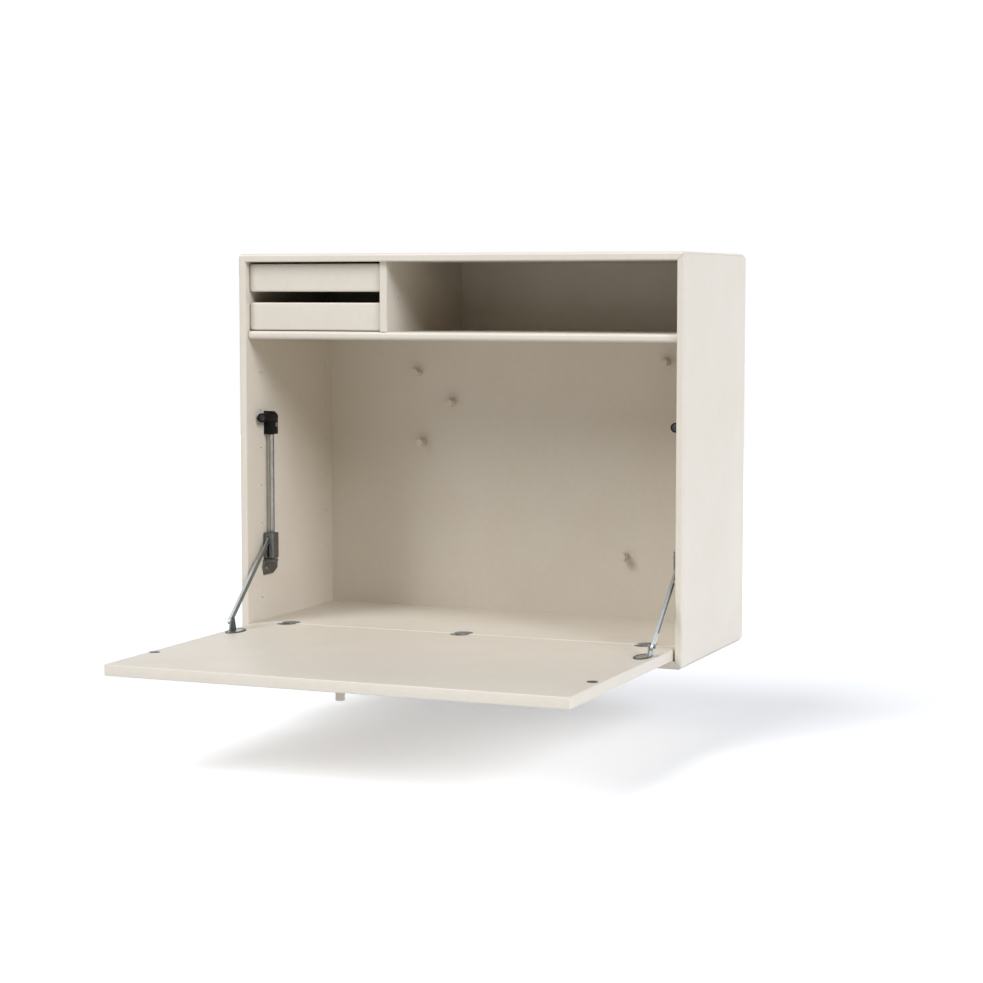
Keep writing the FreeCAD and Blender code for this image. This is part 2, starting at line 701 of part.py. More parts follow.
def stay_slider():
    """Slider that runs on the rod; its slot is open to the front, top and bottom."""
    left = x_at(SLIDER_WALL_GAP)
    right = x_at(SLIDER_WALL_GAP + SLIDER_WIDTH)
    front = y_at(SLIDER_SETBACK)
    rear = y_at(SLIDER_SETBACK + SLIDER_DEPTH)
    bottom = z_at(SLIDER_BOTTOM)
    top = z_at(SLIDER_BOTTOM + SLIDER_LENGTH)
    outline = [(left, front), (right, front), (right, rear), (left, rear)]
    body = prism("XY", [(u, v, SLIDER_EDGE_ROUND) for u, v in outline], bottom, top)
    bore_radius = ROD_DIAMETER / 2.0 + SLIDER_BORE_CLEARANCE
    low = FreeCAD.Vector(x_at(ROD_INSET), y_at(ROD_SETBACK), bottom)
    body = body.cut(rod(bore_radius, low, FreeCAD.Vector(low.x, low.y, top)))
    middle = x_at(ARM_INSET)
    return body.cut(block(middle - SLOT_WIDTH / 2.0, middle + SLOT_WIDTH / 2.0,
                          front, front + SLOT_DEPTH, bottom, top))


def arm_placement():
    """Places the arm's own axes: length, width, and the cabinet's X as thickness."""
    length_axis = FreeCAD.Vector(0, math.sin(ARM_LEAN), math.cos(ARM_LEAN))
    width_axis = FreeCAD.Vector(0, -math.cos(ARM_LEAN), math.sin(ARM_LEAN))
    turn = FreeCAD.Rotation(length_axis, width_axis, FreeCAD.Vector(1, 0, 0), "ZXY")
    origin = FreeCAD.Vector(x_at(ARM_INSET), y_at(LEAF_PIVOT[0]), z_at(LEAF_PIVOT[1]))
    return FreeCAD.Placement(origin, turn)


def stay_arm():
    """Pressed steel arm: a U channel, flattened to a tongue where it enters the slider."""
    inner = TONGUE_THICKNESS / 2.0
    outer = inner - CHANNEL_DEPTH
    half = CHANNEL_WIDTH / 2.0
    tongue_half = TONGUE_WIDTH / 2.0
    tongue_start = ARM_LENGTH - TONGUE_LENGTH
    tongue = [
        (tongue_start, -tongue_half, 0.0),
        (ARM_LENGTH + tongue_half, -tongue_half, tongue_half - PIN_CLEARANCE),
        (ARM_LENGTH + tongue_half, tongue_half, tongue_half - PIN_CLEARANCE),
        (tongue_start, tongue_half, 0.0),
    ]
    bar = [
        (-half, -half, half - PIN_CLEARANCE),
        (tongue_start, -half, 0.0),
        (tongue_start, half, 0.0),
        (-half, half, half - PIN_CLEARANCE),
    ]
    arm = prism("XY", bar, outer, inner)
    arm = arm.cut(block(ARM_TAIL_LENGTH, tongue_start, -half + CHANNEL_WALL, half - CHANNEL_WALL,
                        outer, inner - CHANNEL_WALL))
    arm = arm.fuse(prism("XY", tongue, -inner, inner)).removeSplitter()
    pin_radius = ARM_PIN_DIAMETER / 2.0 + ARM_PIN_CLEARANCE
    arm = arm.cut(rod(pin_radius, FreeCAD.Vector(0, 0, outer), FreeCAD.Vector(0, 0, inner)))
    arm.Placement = arm_placement()
    return arm


def leaf_bracket():
    """Oval base plate on the leaf, with a blade for the arm's pin."""
    centre = FreeCAD.Vector(x_at(BRACKET_PLATE_INSET), y_at(-BRACKET_PLATE_REACH), z_at(DESK_LEVEL))
    plate = oval(centre, BRACKET_PLATE_LENGTH, BRACKET_PLATE_WIDTH, BRACKET_PLATE_THICKNESS)
    pivot_y = y_at(LEAF_PIVOT[0])
    pivot_z = z_at(LEAF_PIVOT[1])
    foot_z = z_at(DESK_LEVEL + BRACKET_PLATE_THICKNESS)
    outline = [
        (pivot_y - BLADE_FOOT_WIDTH / 2.0, foot_z, 0.0),
        (pivot_y + BLADE_FOOT_WIDTH / 2.0, foot_z, 0.0),
        (pivot_y + BLADE_HEAD_RADIUS, pivot_z + BLADE_HEAD_RADIUS, BLADE_CORNER_ROUND),
        (pivot_y - BLADE_HEAD_RADIUS, pivot_z + BLADE_HEAD_RADIUS, BLADE_CORNER_ROUND),
    ]
    blade = prism("YZ", outline, x_at(BLADE_INSET), x_at(BLADE_INSET + BLADE_THICKNESS))
    return plate.fuse(blade).removeSplitter().cut(arm_pin_shank(ARM_PIN_CLEARANCE))


def oval(centre, length, width, thickness):
    """Flat ellipse, long along Y, drawn up from its centre."""
    curve = Part.Ellipse(centre, length / 2.0, width / 2.0)
    edge = curve.toShape()
    edge.rotate(centre, FreeCAD.Vector(0, 0, 1), 90.0)
    return Part.Face(Part.Wire([edge])).extrude(FreeCAD.Vector(0, 0, thickness))


def arm_pin_shank(clearance):
    """Shank of the arm's pin, from the arm's outer face through the blade."""
    start = FreeCAD.Vector(x_at(ARM_INSET + TONGUE_THICKNESS / 2.0 - CHANNEL_DEPTH - BLADE_GAP),
                           y_at(LEAF_PIVOT[0]), z_at(LEAF_PIVOT[1]))
    end = FreeCAD.Vector(x_at(BLADE_INSET + BLADE_THICKNESS), start.y, start.z)
    return rod(ARM_PIN_DIAMETER / 2.0 + clearance, start, end)


def arm_pin():
    """Headed pin that holds the arm against the blade."""
    shank = arm_pin_shank(0.0)
    end = FreeCAD.Vector(shank.BoundBox.XMin, y_at(LEAF_PIVOT[0]), z_at(LEAF_PIVOT[1]))
    head = rod(ARM_PIN_HEAD_DIAMETER / 2.0, end - FreeCAD.Vector(ARM_PIN_HEAD_LENGTH, 0, 0), end)
    return shank.fuse(head).removeSplitter()


# ---------------------------------------------------------------- trays

def tray_front(level):
    """Rounded front of a tray."""
    left = -INNER_HALF + TRAY_SIDE_GAP
    right = DIVIDER_LEFT - TRAY_SIDE_GAP
    low = z_at(level)
    high = z_at(level + TRAY_FRONT_HEIGHT)
    front = y_at(TRAY_SETBACK)
    rear = front + TRAY_FRONT_THICKNESS
    face = [(left, low), (right, low), (right, high), (left, high)]
    plan = [
        (left, front, TRAY_FRONT_ROUND),
        (right, front, TRAY_FRONT_ROUND),
        (right, rear, 0.0),
        (left, rear, 0.0),
    ]
    section = [
        (front, low, TRAY_FRONT_ROUND),
        (front, high, TRAY_FRONT_ROUND),
        (rear, high, 0.0),
        (rear, low, 0.0),
    ]
    board = prism("XZ", [(u, v, TRAY_FRONT_CORNER) for u, v in face], front, rear)
    return board.common(prism("XY", plan, low, high)).common(prism("YZ", section, left, right))


def tray_box(level):
    """Tray body behind the front: open on top, grooved along both sides."""
    left = -INNER_HALF + TRAY_SIDE_GAP
    right = DIVIDER_LEFT - TRAY_SIDE_GAP
    front = y_at(TRAY_SETBACK + TRAY_FRONT_THICKNESS)
    rear = y_at(BACK_FACE_SETBACK - TRAY_REAR_GAP)
    low = z_at(level + TRAY_BOX_RAISE)
    high = low + TRAY_BOX_HEIGHT
    box = block(left, right, front, rear, low, high)
    box = box.cut(block(left + TRAY_WALL, right - TRAY_WALL, front, rear - TRAY_WALL,
                        low + TRAY_BASE, high))
    groove_low = z_at(level + GROOVE_RAISE)
    for x0, x1 in ((left, left + GROOVE_DEPTH), (right - GROOVE_DEPTH, right)):
        box = box.cut(block(x0, x1, front + GROOVE_START, rear, groove_low, groove_low + GROOVE_HEIGHT))
    return box


def runner(level, right):
    """Strip on the bay's wall that a tray's groove slides on."""
    groove_top = level + GROOVE_RAISE + GROOVE_HEIGHT
    top = z_at(groove_top - RUNNER_SEAT_GAP)
    front = y_at(TRAY_SETBACK + TRAY_FRONT_THICKNESS) + GROOVE_START + RUNNER_STOP_GAP
    rear = y_at(BACK_FACE_SETBACK - RUNNER_REAR_GAP)
    bottom = top - RUNNER_HEIGHT
    outline = [
        (front, bottom + RUNNER_LEAD, 0.0),
        (front + RUNNER_LEAD, bottom, 0.0),
        (rear, bottom, 0.0),
        (rear, top, 0.0),
        (front + RUNNER_LEAD, top, 0.0),
        (front, top - RUNNER_LEAD, 0.0),
    ]
    width = TRAY_SIDE_GAP + RUNNER_GRIP
    wall = DIVIDER_LEFT - width if right else -INNER_HALF
    return prism("YZ", outline, wall, wall + width)


# ---------------------------------------------------------------- the whole desk

def build_carcass():
    """Frame, back, shelf, divider, floor, wall plates, pins and pegs."""
    save("panel_bottom", bottom_panel())
    save("panel_top", top_panel())
    for name, right in SIDES.items():
        save("panel_" + name, on_side(side_panel(), right))
    save("back_panel", back_panel())
    save("fixing_plates", fixing_plates())
    save("shelf", shelf())
    save("shelf_pins", shelf_pins())
    save("divider", divider())
    save("inner_floor", inner_floor())
    save("pegs", pegs())


def build_leaf():
    """Leaf, knob, strikes and hinges."""
    save("leaf_panel", leaf_panel())
    save("leaf_knob", peg(knob_base(), FreeCAD.Vector(0, 0, -1), KNOB_LENGTH))
    save("strikes", strikes())
    save("hinge_leaf_halves", Part.Compound([hinge_leaf_half(centre) for centre in HINGE_CENTRES]))
    save("hinge_floor_halves", Part.Compound([hinge_floor_half(centre) for centre in HINGE_CENTRES]))


def build_stays():
    """The two slider stays: sliders and arms move one by one, the rest comes in pairs."""
    movers = {"stay_slider_": stay_slider(), "stay_arm_": stay_arm()}
    for side, right in SIDES.items():
        for name, piece in movers.items():
            save(name + side, on_side(piece, right))
    pairs = {
        "stay_heads": stay_head(),
        "stay_rods": stay_rod(0.0),
        "stay_feet": stay_foot(),
        "stay_magnets": magnet(MAGNET_SINK, 0.0),
        "leaf_brackets": leaf_bracket(),
        "arm_pins": arm_pin(),
    }
    for name, piece in pairs.items():
        save(name, Part.Compound([piece, on_side(piece, True)]))


def build_trays():
    """Two trays, one hole pitch apart, and their runners."""
    lower = SHELF_TOP + TRAY_BOTTOM_GAP
    for name, level in (("lower", lower), ("upper", lower + HOLE_PITCH)):
        save("tray_front_" + name, tray_front(level))
        save("tray_box_" + name, tray_box(level))
        for side, right in SIDES.items():
            save("runner_%s_%s" % (name, side), runner(level, right))


def main():
    """Build every piece, and print the sizes that the joints need."""
    os.makedirs("parts", exist_ok=True)
    build_carcass()
    build_leaf()
    build_stays()
    build_trays()
    closed_y = AXIS_SETBACK + (LEAF_PIVOT[1] - AXIS_HEIGHT)
    closed_z = TURN_SUM - LEAF_PIVOT[0]
    slider_closed = closed_z + math.sqrt(ARM_LENGTH ** 2 - (SLIDER_PIVOT[0] - closed_y) ** 2)
    closed_lean = math.atan2(SLIDER_PIVOT[0] - closed_y, slider_closed - closed_z)
    print("leaf axis y %.3f z %.3f" % (y_at(AXIS_SETBACK), z_at(AXIS_HEIGHT)))
    print("arm pivot y %.3f z %.3f length %.3f" % (y_at(LEAF_PIVOT[0]), z_at(LEAF_PIVOT[1]), ARM_LENGTH))
    print("slider travel %.3f" % (slider_closed - SLIDER_PIVOT[1]))
    print("arm turn on leaf %.4f deg" % (90.0 + math.degrees(ARM_LEAN - closed_lean)))


main()
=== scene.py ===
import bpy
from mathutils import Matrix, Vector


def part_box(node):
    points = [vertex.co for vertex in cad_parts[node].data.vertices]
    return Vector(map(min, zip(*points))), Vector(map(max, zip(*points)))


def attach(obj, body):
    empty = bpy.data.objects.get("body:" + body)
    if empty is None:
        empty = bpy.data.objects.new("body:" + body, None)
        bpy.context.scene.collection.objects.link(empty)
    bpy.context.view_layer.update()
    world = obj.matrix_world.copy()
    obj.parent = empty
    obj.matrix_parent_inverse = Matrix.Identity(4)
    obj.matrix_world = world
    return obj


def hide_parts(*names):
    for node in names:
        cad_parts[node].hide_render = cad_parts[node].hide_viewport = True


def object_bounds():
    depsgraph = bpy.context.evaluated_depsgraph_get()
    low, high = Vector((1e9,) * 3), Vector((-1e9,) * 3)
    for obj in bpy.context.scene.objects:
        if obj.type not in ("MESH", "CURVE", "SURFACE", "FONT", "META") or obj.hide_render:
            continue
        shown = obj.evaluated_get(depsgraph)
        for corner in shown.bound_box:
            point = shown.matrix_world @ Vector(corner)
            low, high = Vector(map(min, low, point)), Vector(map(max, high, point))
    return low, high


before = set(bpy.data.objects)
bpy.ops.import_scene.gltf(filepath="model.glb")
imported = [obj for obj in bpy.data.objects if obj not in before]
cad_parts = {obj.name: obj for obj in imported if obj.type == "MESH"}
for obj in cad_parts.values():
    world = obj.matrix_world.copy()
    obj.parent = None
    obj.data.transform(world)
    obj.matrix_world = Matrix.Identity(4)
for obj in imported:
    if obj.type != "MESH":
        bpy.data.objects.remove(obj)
CAD_BOX = [list(corner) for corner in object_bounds()]

import logging
import math
from dataclasses import dataclass
from enum import Enum
from typing import Any, Callable, Iterable

import bmesh
import bpy
from mathutils import Matrix, Vector

# Wall-hung desk cabinet with its drop leaf down: the visible finish of every board and fitting.
# Lengths are in metres, in the CAD model's own frame: +X right, +Y into the wall, +Z up.

log = logging.getLogger("wall_desk")

Piece = bpy.types.Object
Material = bpy.types.Material
Tree = bpy.types.NodeTree
Socket = bpy.types.NodeSocket

MM = 0.001
# Edges flatter than this many degrees are shaded smoothly, on plain pieces and on pieces with
# rounded corners. The leaf's edges that are sharper than the second are eased.
SMOOTH_ANGLE = 32.0
CORNER_ANGLE = 40.0


class Side(Enum):
    """The side of the cabinet that a fitting belongs to, as the sign of its X."""

    LEFT = -1
    RIGHT = 1


class Element(Enum):
    """What an edit-mode selection picks."""

    CORNERS = "VERT"
    EDGES = "EDGE"
    FACES = "FACE"


# ---------------------------------------------------------------- colours and nodes


def linear(hex_colour: str) -> tuple[float, float, float, float]:
    """Turn an sRGB colour into the linear one that a shader takes.

    Args:
        hex_colour: six hexadecimal digits.

    Returns:
        Red, green, blue and an alpha of 1.
    """
    channels = []
    for start in (0, 2, 4):
        value = int(hex_colour[start:start + 2], 16) / 255.0
        channels.append(value / 12.92 if value <= 0.04045 else ((value + 0.055) / 1.055) ** 2.4)
    return (channels[0], channels[1], channels[2], 1.0)


def add_node(tree: Tree, kind: str, settings: dict[str, Any] | None = None,
             inputs: dict[str | int, Any] | None = None) -> bpy.types.Node:
    """Add one node with its settings, its typed values and its links.

    Args:
        tree: the node tree that gets the node.
        kind: the node's type, such as ShaderNodeTexNoise.
        settings: attributes of the node itself.
        inputs: a value or a source socket for each input, by name or number.

    Returns:
        The new node.
    """
    node = tree.nodes.new(kind)
    for name, value in (settings or {}).items():
        setattr(node, name, value)
    for name, value in (inputs or {}).items():
        socket = node.inputs[name]
        if isinstance(value, Socket):
            tree.links.new(value, socket)
        else:
            socket.default_value = value
    return node


def new_material(name: str) -> tuple[Material, Tree]:
    """Make an empty node material.

    Args:
        name: what the material is.

    Returns:
        The material and its node tree.
    """
    material = bpy.data.materials.new(name)
    material.use_nodes = True
    material.node_tree.nodes.clear()
    return material, material.node_tree


def patch_noise(tree: Tree, point: Socket, size: float,
                detail: float = 2.0) -> Socket:
    """Noise whose patches have a real size.

    Args:
        tree: the material's nodes.
        point: the coordinates that it reads.
        size: width of a patch in metres.
        detail: how many finer octaves lie on it.

    Returns:
        The noise value, from 0 to 1 about 0.5.
    """
    noise = add_node(tree, "ShaderNodeTexNoise", {"noise_dimensions": "3D"},
                     {"Vector": point, "Scale": 1.0 / size, "Detail": detail, "Roughness": 0.5})
    return noise.outputs["Fac"]


def spread(tree: Tree, value: Socket, low: float, high: float,
           start: float = 0.3, stop: float = 0.7) -> Socket:
    """Spread a noise value over a range.

    Args:
        tree: the material's nodes.
        value: the noise.
        low: result where the noise is at start.
        high: result where the noise is at stop.
        start: lower end of the noise.
        stop: upper end of the noise.

    Returns:
        The spread value.
    """
    mapped = add_node(tree, "ShaderNodeMapRange", {"clamp": True},
                      {"Value": value, "From Min": start, "From Max": stop,
                       "To Min": low, "To Max": high})
    return mapped.outputs["Result"]


def tint(tree: Tree, share: Socket, first: Any,
         second: Any) -> Socket:
    """Mix two colours by a share.

    Args:
        tree: the material's nodes.
        share: 0 for the first colour, 1 for the second.
        first: colour or colour socket.
        second: colour or colour socket.

    Returns:
        The mixed colour.
    """
    mix = add_node(tree, "ShaderNodeMix", {"data_type": "RGBA"}, {0: share, 6: first, 7: second})
    return mix.outputs[2]


def arithmetic(tree: Tree, operation: str, first: Any,
               second: Any = 0.0) -> Socket:
    """One Math node.

    Args:
        tree: the material's nodes.
        operation: the node's operation.
        first: number or socket.
        second: number or socket.

    Returns:
        The result.
    """
    return add_node(tree, "ShaderNodeMath", {"operation": operation},
                    {0: first, 1: second}).outputs[0]


def relief(tree: Tree, height: Socket, depth: float,
           below: Socket | None = None) -> Socket:
    """Bump of a real depth.

    Args:
        tree: the material's nodes.
        height: height from 0 to 1.
        depth: height of a full step in metres.
        below: normal of a coarser relief under this one.

    Returns:
        The bent normal.
    """
    inputs: dict[str | int, Any] = {"Height": height, "Distance": depth, "Strength": 1.0}
    if below is not None:
        inputs["Normal"] = below
    return add_node(tree, "ShaderNodeBump", {}, inputs).outputs["Normal"]


def object_point(tree: Tree, stretch: tuple[float, float, float] = (1.0, 1.0, 1.0),
                 ) -> Socket:
    """Object coordinates, scaled along the axes to draw a pattern out.

    Args:
        tree: the material's nodes.
        stretch: scale of each coordinate.

    Returns:
        The coordinates.
    """
    place = add_node(tree, "ShaderNodeTexCoord").outputs["Object"]
    mapped = add_node(tree, "ShaderNodeMapping", {}, {"Vector": place, "Scale": stretch})
    return mapped.outputs["Vector"]


def shown_to_the_eye(tree: Tree) -> Socket:
    """One for what the eye sees straight, in a gloss or through a clear piece, else nought."""
    path = add_node(tree, "ShaderNodeLightPath").outputs
    return arithmetic(tree, "MAXIMUM", path["Is Camera Ray"],
                      arithmetic(tree, "MAXIMUM", path["Is Glossy Ray"], path["Is Transmission Ray"]))


def finish_surface(tree: Tree, inputs: dict[str | int, Any]) -> None:
    """Close a material with its surface shader.

    Args:
        tree: the material's nodes.
        inputs: the shader's values and links.
    """
    surface = add_node(tree, "ShaderNodeBsdfPrincipled", {}, inputs)
    add_node(tree, "ShaderNodeOutputMaterial", {}, {"Surface": surface.outputs[0]})


# ---------------------------------------------------------------- finishes


@dataclass(frozen=True)
class SatinLacquer:
    """Sprayed satin lacquer on fibreboard.

    Gives the eye a calm warm white with the soft orange peel of a spray gun, and slow changes
    of tone and gloss over a hand's width.
    """

    name: str = "satin_lacquer"
    colour: str = "DBD2C2"
    shade: str = "D7CDBC"
    gloss_low: float = 0.36
    gloss_high: float = 0.46
    peel_size: float = 3.2 * MM
    peel_depth: float = 0.012 * MM
    mitre_seam: bool = False
    seam_colour: str = "8D8069"
    seam_half: float = 0.42 * MM
    seam_reach: float = 12.2 * MM
    seam_depth_left: float = 0.18
    seam_depth_right: float = 0.8

    def seam(self, tree: Tree, colour: Socket) -> Socket:
        """Darken the hairline where two mitred boards meet.

        Args:
            tree: the material's nodes.
            colour: the lacquer's colour.

        Returns:
            The colour with its seams.
        """
        low, high = CAD_BOX
        half_width = (high[0] - low[0]) / 2.0
        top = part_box("panel_top")[1].z
        parts = add_node(tree, "ShaderNodeSeparateXYZ", {}, {0: object_point(tree)}).outputs
        across = arithmetic(tree, "ABSOLUTE", parts[0])
        up = arithmetic(tree, "ABSOLUTE", parts[2])
        offset = arithmetic(tree, "SUBTRACT", arithmetic(tree, "SUBTRACT", across, up),
                            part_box("panel_right")[1].x - top)
        near = arithmetic(tree, "LESS_THAN", arithmetic(tree, "ABSOLUTE", offset), self.seam_half)
        outer = arithmetic(tree, "GREATER_THAN", across, half_width - self.seam_reach)
        # The left-hand joints closed tighter, so their line is fainter.
        depth = spread(tree, parts[0], self.seam_depth_left, self.seam_depth_right, -0.01, 0.01)
        line = arithmetic(tree, "MULTIPLY", arithmetic(tree, "MULTIPLY", near, outer), depth)
        return tint(tree, line, colour, linear(self.seam_colour))

    def build(self) -> Material:
        """Make the material."""
        material, tree = new_material(self.name)
        point = object_point(tree)
        slow = patch_noise(tree, point, 140 * MM, 3.0)
        fine = patch_noise(tree, point, 9 * MM, 3.0)
        peel = patch_noise(tree, point, self.peel_size, 1.0)
        dust = patch_noise(tree, point, 0.9 * MM, 2.0)
        colour = tint(tree, spread(tree, slow, 0.0, 1.0), linear(self.colour), linear(self.shade))
        colour = tint(tree, spread(tree, fine, 0.0, 0.10), colour, linear("EFE9DE"))
        if self.mitre_seam:
            colour = self.seam(tree, colour)
        gloss = arithmetic(tree, "ADD", spread(tree, slow, self.gloss_low, self.gloss_high),
                           spread(tree, fine, -0.02, 0.02))
        normal = relief(tree, peel, self.peel_depth)
        normal = relief(tree, dust, 0.0015 * MM, normal)
        finish_surface(tree, {"Base Color": colour, "Roughness": gloss, "Normal": normal})
        return material


@dataclass(frozen=True)
class DrawnSteel:
    """Bright plated steel with drawing lines along one axis.

    Gives the eye a sharp long highlight that breaks up into fine parallel lines.
    """

    name: str = "drawn_plated_steel"
    colour: str = "A6A6A3"
    shade: str = "969693"
    roughness: float = 0.23
    metal: float = 0.88
    stretch: tuple[float, float, float] = (1.0, 1.0, 0.02)

    def build(self) -> Material:
        """Make the material."""
        material, tree = new_material(self.name)
        lines = patch_noise(tree, object_point(tree, self.stretch), 0.35 * MM, 3.0)
        cloud = patch_noise(tree, object_point(tree), 14 * MM, 2.0)
        colour = tint(tree, spread(tree, cloud, 0.0, 0.8), linear(self.colour), linear(self.shade))
        gloss = arithmetic(tree, "ADD",
                           spread(tree, lines, self.roughness - 0.05, self.roughness + 0.08),
                           spread(tree, cloud, -0.02, 0.04))
        finish_surface(tree, {"Base Color": colour, "Metallic": self.metal, "Roughness": gloss,
                              "Normal": relief(tree, lines, 0.0016 * MM)})
        return material


@dataclass(frozen=True)
class GreyZinc:
    """Die-cast zinc with a grey satin plating.

    Gives the eye a dull grey metal with a fine pebbled skin and soft wide highlights.
    """

    name: str = "grey_plated_zinc"
    colour: str = "757674"
    shade: str = "686967"
    metal: float = 0.8
    roughness: float = 0.31
    pebble: float = 0.5 * MM

    def build(self) -> Material:
        """Make the material."""
        material, tree = new_material(self.name)
        point = object_point(tree)
        cloud = patch_noise(tree, point, 6 * MM, 3.0)
        skin = patch_noise(tree, point, self.pebble, 3.0)
        colour = tint(tree, spread(tree, cloud, 0.0, 1.0), linear(self.colour), linear(self.shade))
        gloss = arithmetic(tree, "ADD",
                           spread(tree, cloud, self.roughness - 0.05, self.roughness + 0.05),
                           spread(tree, skin, -0.04, 0.04))
        finish_surface(tree, {"Base Color": colour, "Metallic": self.metal, "Roughness": gloss,
                              "Normal": relief(tree, skin, 0.008 * MM)})
        return material


@dataclass(frozen=True)
class MouldedPlastic:
    """Black moulded plastic with a fine spark-eroded grain.

    Gives the eye a deep black with a dull sheen that shows the grain at its edges.
    """

    name: str = "moulded_black_plastic"
    colour: str = "09090A"
    shade: str = "0E0E0F"
    roughness: float = 0.46
    gleam: float = 0.16

    def build(self) -> Material:
        """Make the material."""
        material, tree = new_material(self.name)
        point = object_point(tree)
        cloud = patch_noise(tree, point, 11 * MM, 2.0)
        grain = add_node(tree, "ShaderNodeTexVoronoi", {"feature": "F1"},
                         {"Vector": point, "Scale": 1.0 / (0.45 * MM)}).outputs["Distance"]
        colour = tint(tree, spread(tree, cloud, 0.0, 1.0), linear(self.colour), linear(self.shade))
        gloss = spread(tree, cloud, self.roughness - 0.04, self.roughness + 0.06)
        finish_surface(tree, {"Base Color": colour, "Roughness": gloss,
                              "Specular IOR Level": self.gleam,
                              "Normal": relief(tree, grain, 0.006 * MM)})
        return material


@dataclass(frozen=True)
class TurnedFace:
    """Metal disc faced on a lathe, with rings about its own axis.

    Gives the eye fine concentric rings that throw the light round in a soft fan.
    """

    name: str
    centre: tuple[float, float, float]
    axis: str
    colour: str = "6E6F73"
    shade: str = "55565B"
    roughness: float = 0.30
    ring: float = 0.55 * MM

    def build(self) -> Material:
        """Make the material."""
        material, tree = new_material(self.name)
        place = add_node(tree, "ShaderNodeTexCoord").outputs["Object"]
        local = add_node(tree, "ShaderNodeVectorMath", {"operation": "SUBTRACT"},
                         {0: place, 1: self.centre}).outputs[0]
        rings = add_node(tree, "ShaderNodeTexWave",
                         {"wave_type": "RINGS", "rings_direction": self.axis, "wave_profile": "SIN"},
                         {"Vector": local, "Scale": 0.5 / self.ring / math.pi, "Distortion": 0.4,
                          "Detail": 1.0}).outputs["Fac"]
        cloud = patch_noise(tree, place, 3 * MM, 2.0)
        colour = tint(tree, spread(tree, cloud, 0.0, 1.0), linear(self.colour), linear(self.shade))
        gloss = spread(tree, rings, self.roughness - 0.06, self.roughness + 0.06, 0.0, 1.0)
        finish_surface(tree, {"Base Color": colour, "Metallic": 1.0, "Roughness": gloss,
                              "Normal": relief(tree, rings, 0.004 * MM)})
        return material


@dataclass(frozen=True)
class PaleFloor:
    """Plain pale floor.

    Gives the eye a white ground that keeps the soft shadow under the desk, and throws only a
    little light back up.
    """

    name: str = "pale_floor"
    lit: float = 0.95
    lift: float = 0.38
    bounce: float = 0.85

    def build(self) -> Material:
        """Make the material."""
        material, tree = new_material(self.name)
        grain = patch_noise(tree, object_point(tree), 60 * MM, 2.0)
        rough = spread(tree, grain, 0.85, 0.95)
        seen = add_node(tree, "ShaderNodeBsdfPrincipled", {},
                        {"Base Color": (self.lit, self.lit, self.lit, 1.0), "Roughness": rough,
                         "Specular IOR Level": 0.0, "Emission Color": (1.0, 1.0, 1.0, 1.0),
                         "Emission Strength": self.lift})
        felt = add_node(tree, "ShaderNodeBsdfPrincipled", {},
                        {"Base Color": (self.bounce, self.bounce, self.bounce, 1.0),
                         "Roughness": rough, "Specular IOR Level": 0.0})
        mix = add_node(tree, "ShaderNodeMixShader", {},
                       {0: shown_to_the_eye(tree), 1: felt.outputs[0], 2: seen.outputs[0]})
        add_node(tree, "ShaderNodeOutputMaterial", {}, {"Surface": mix.outputs[0]})
        return material


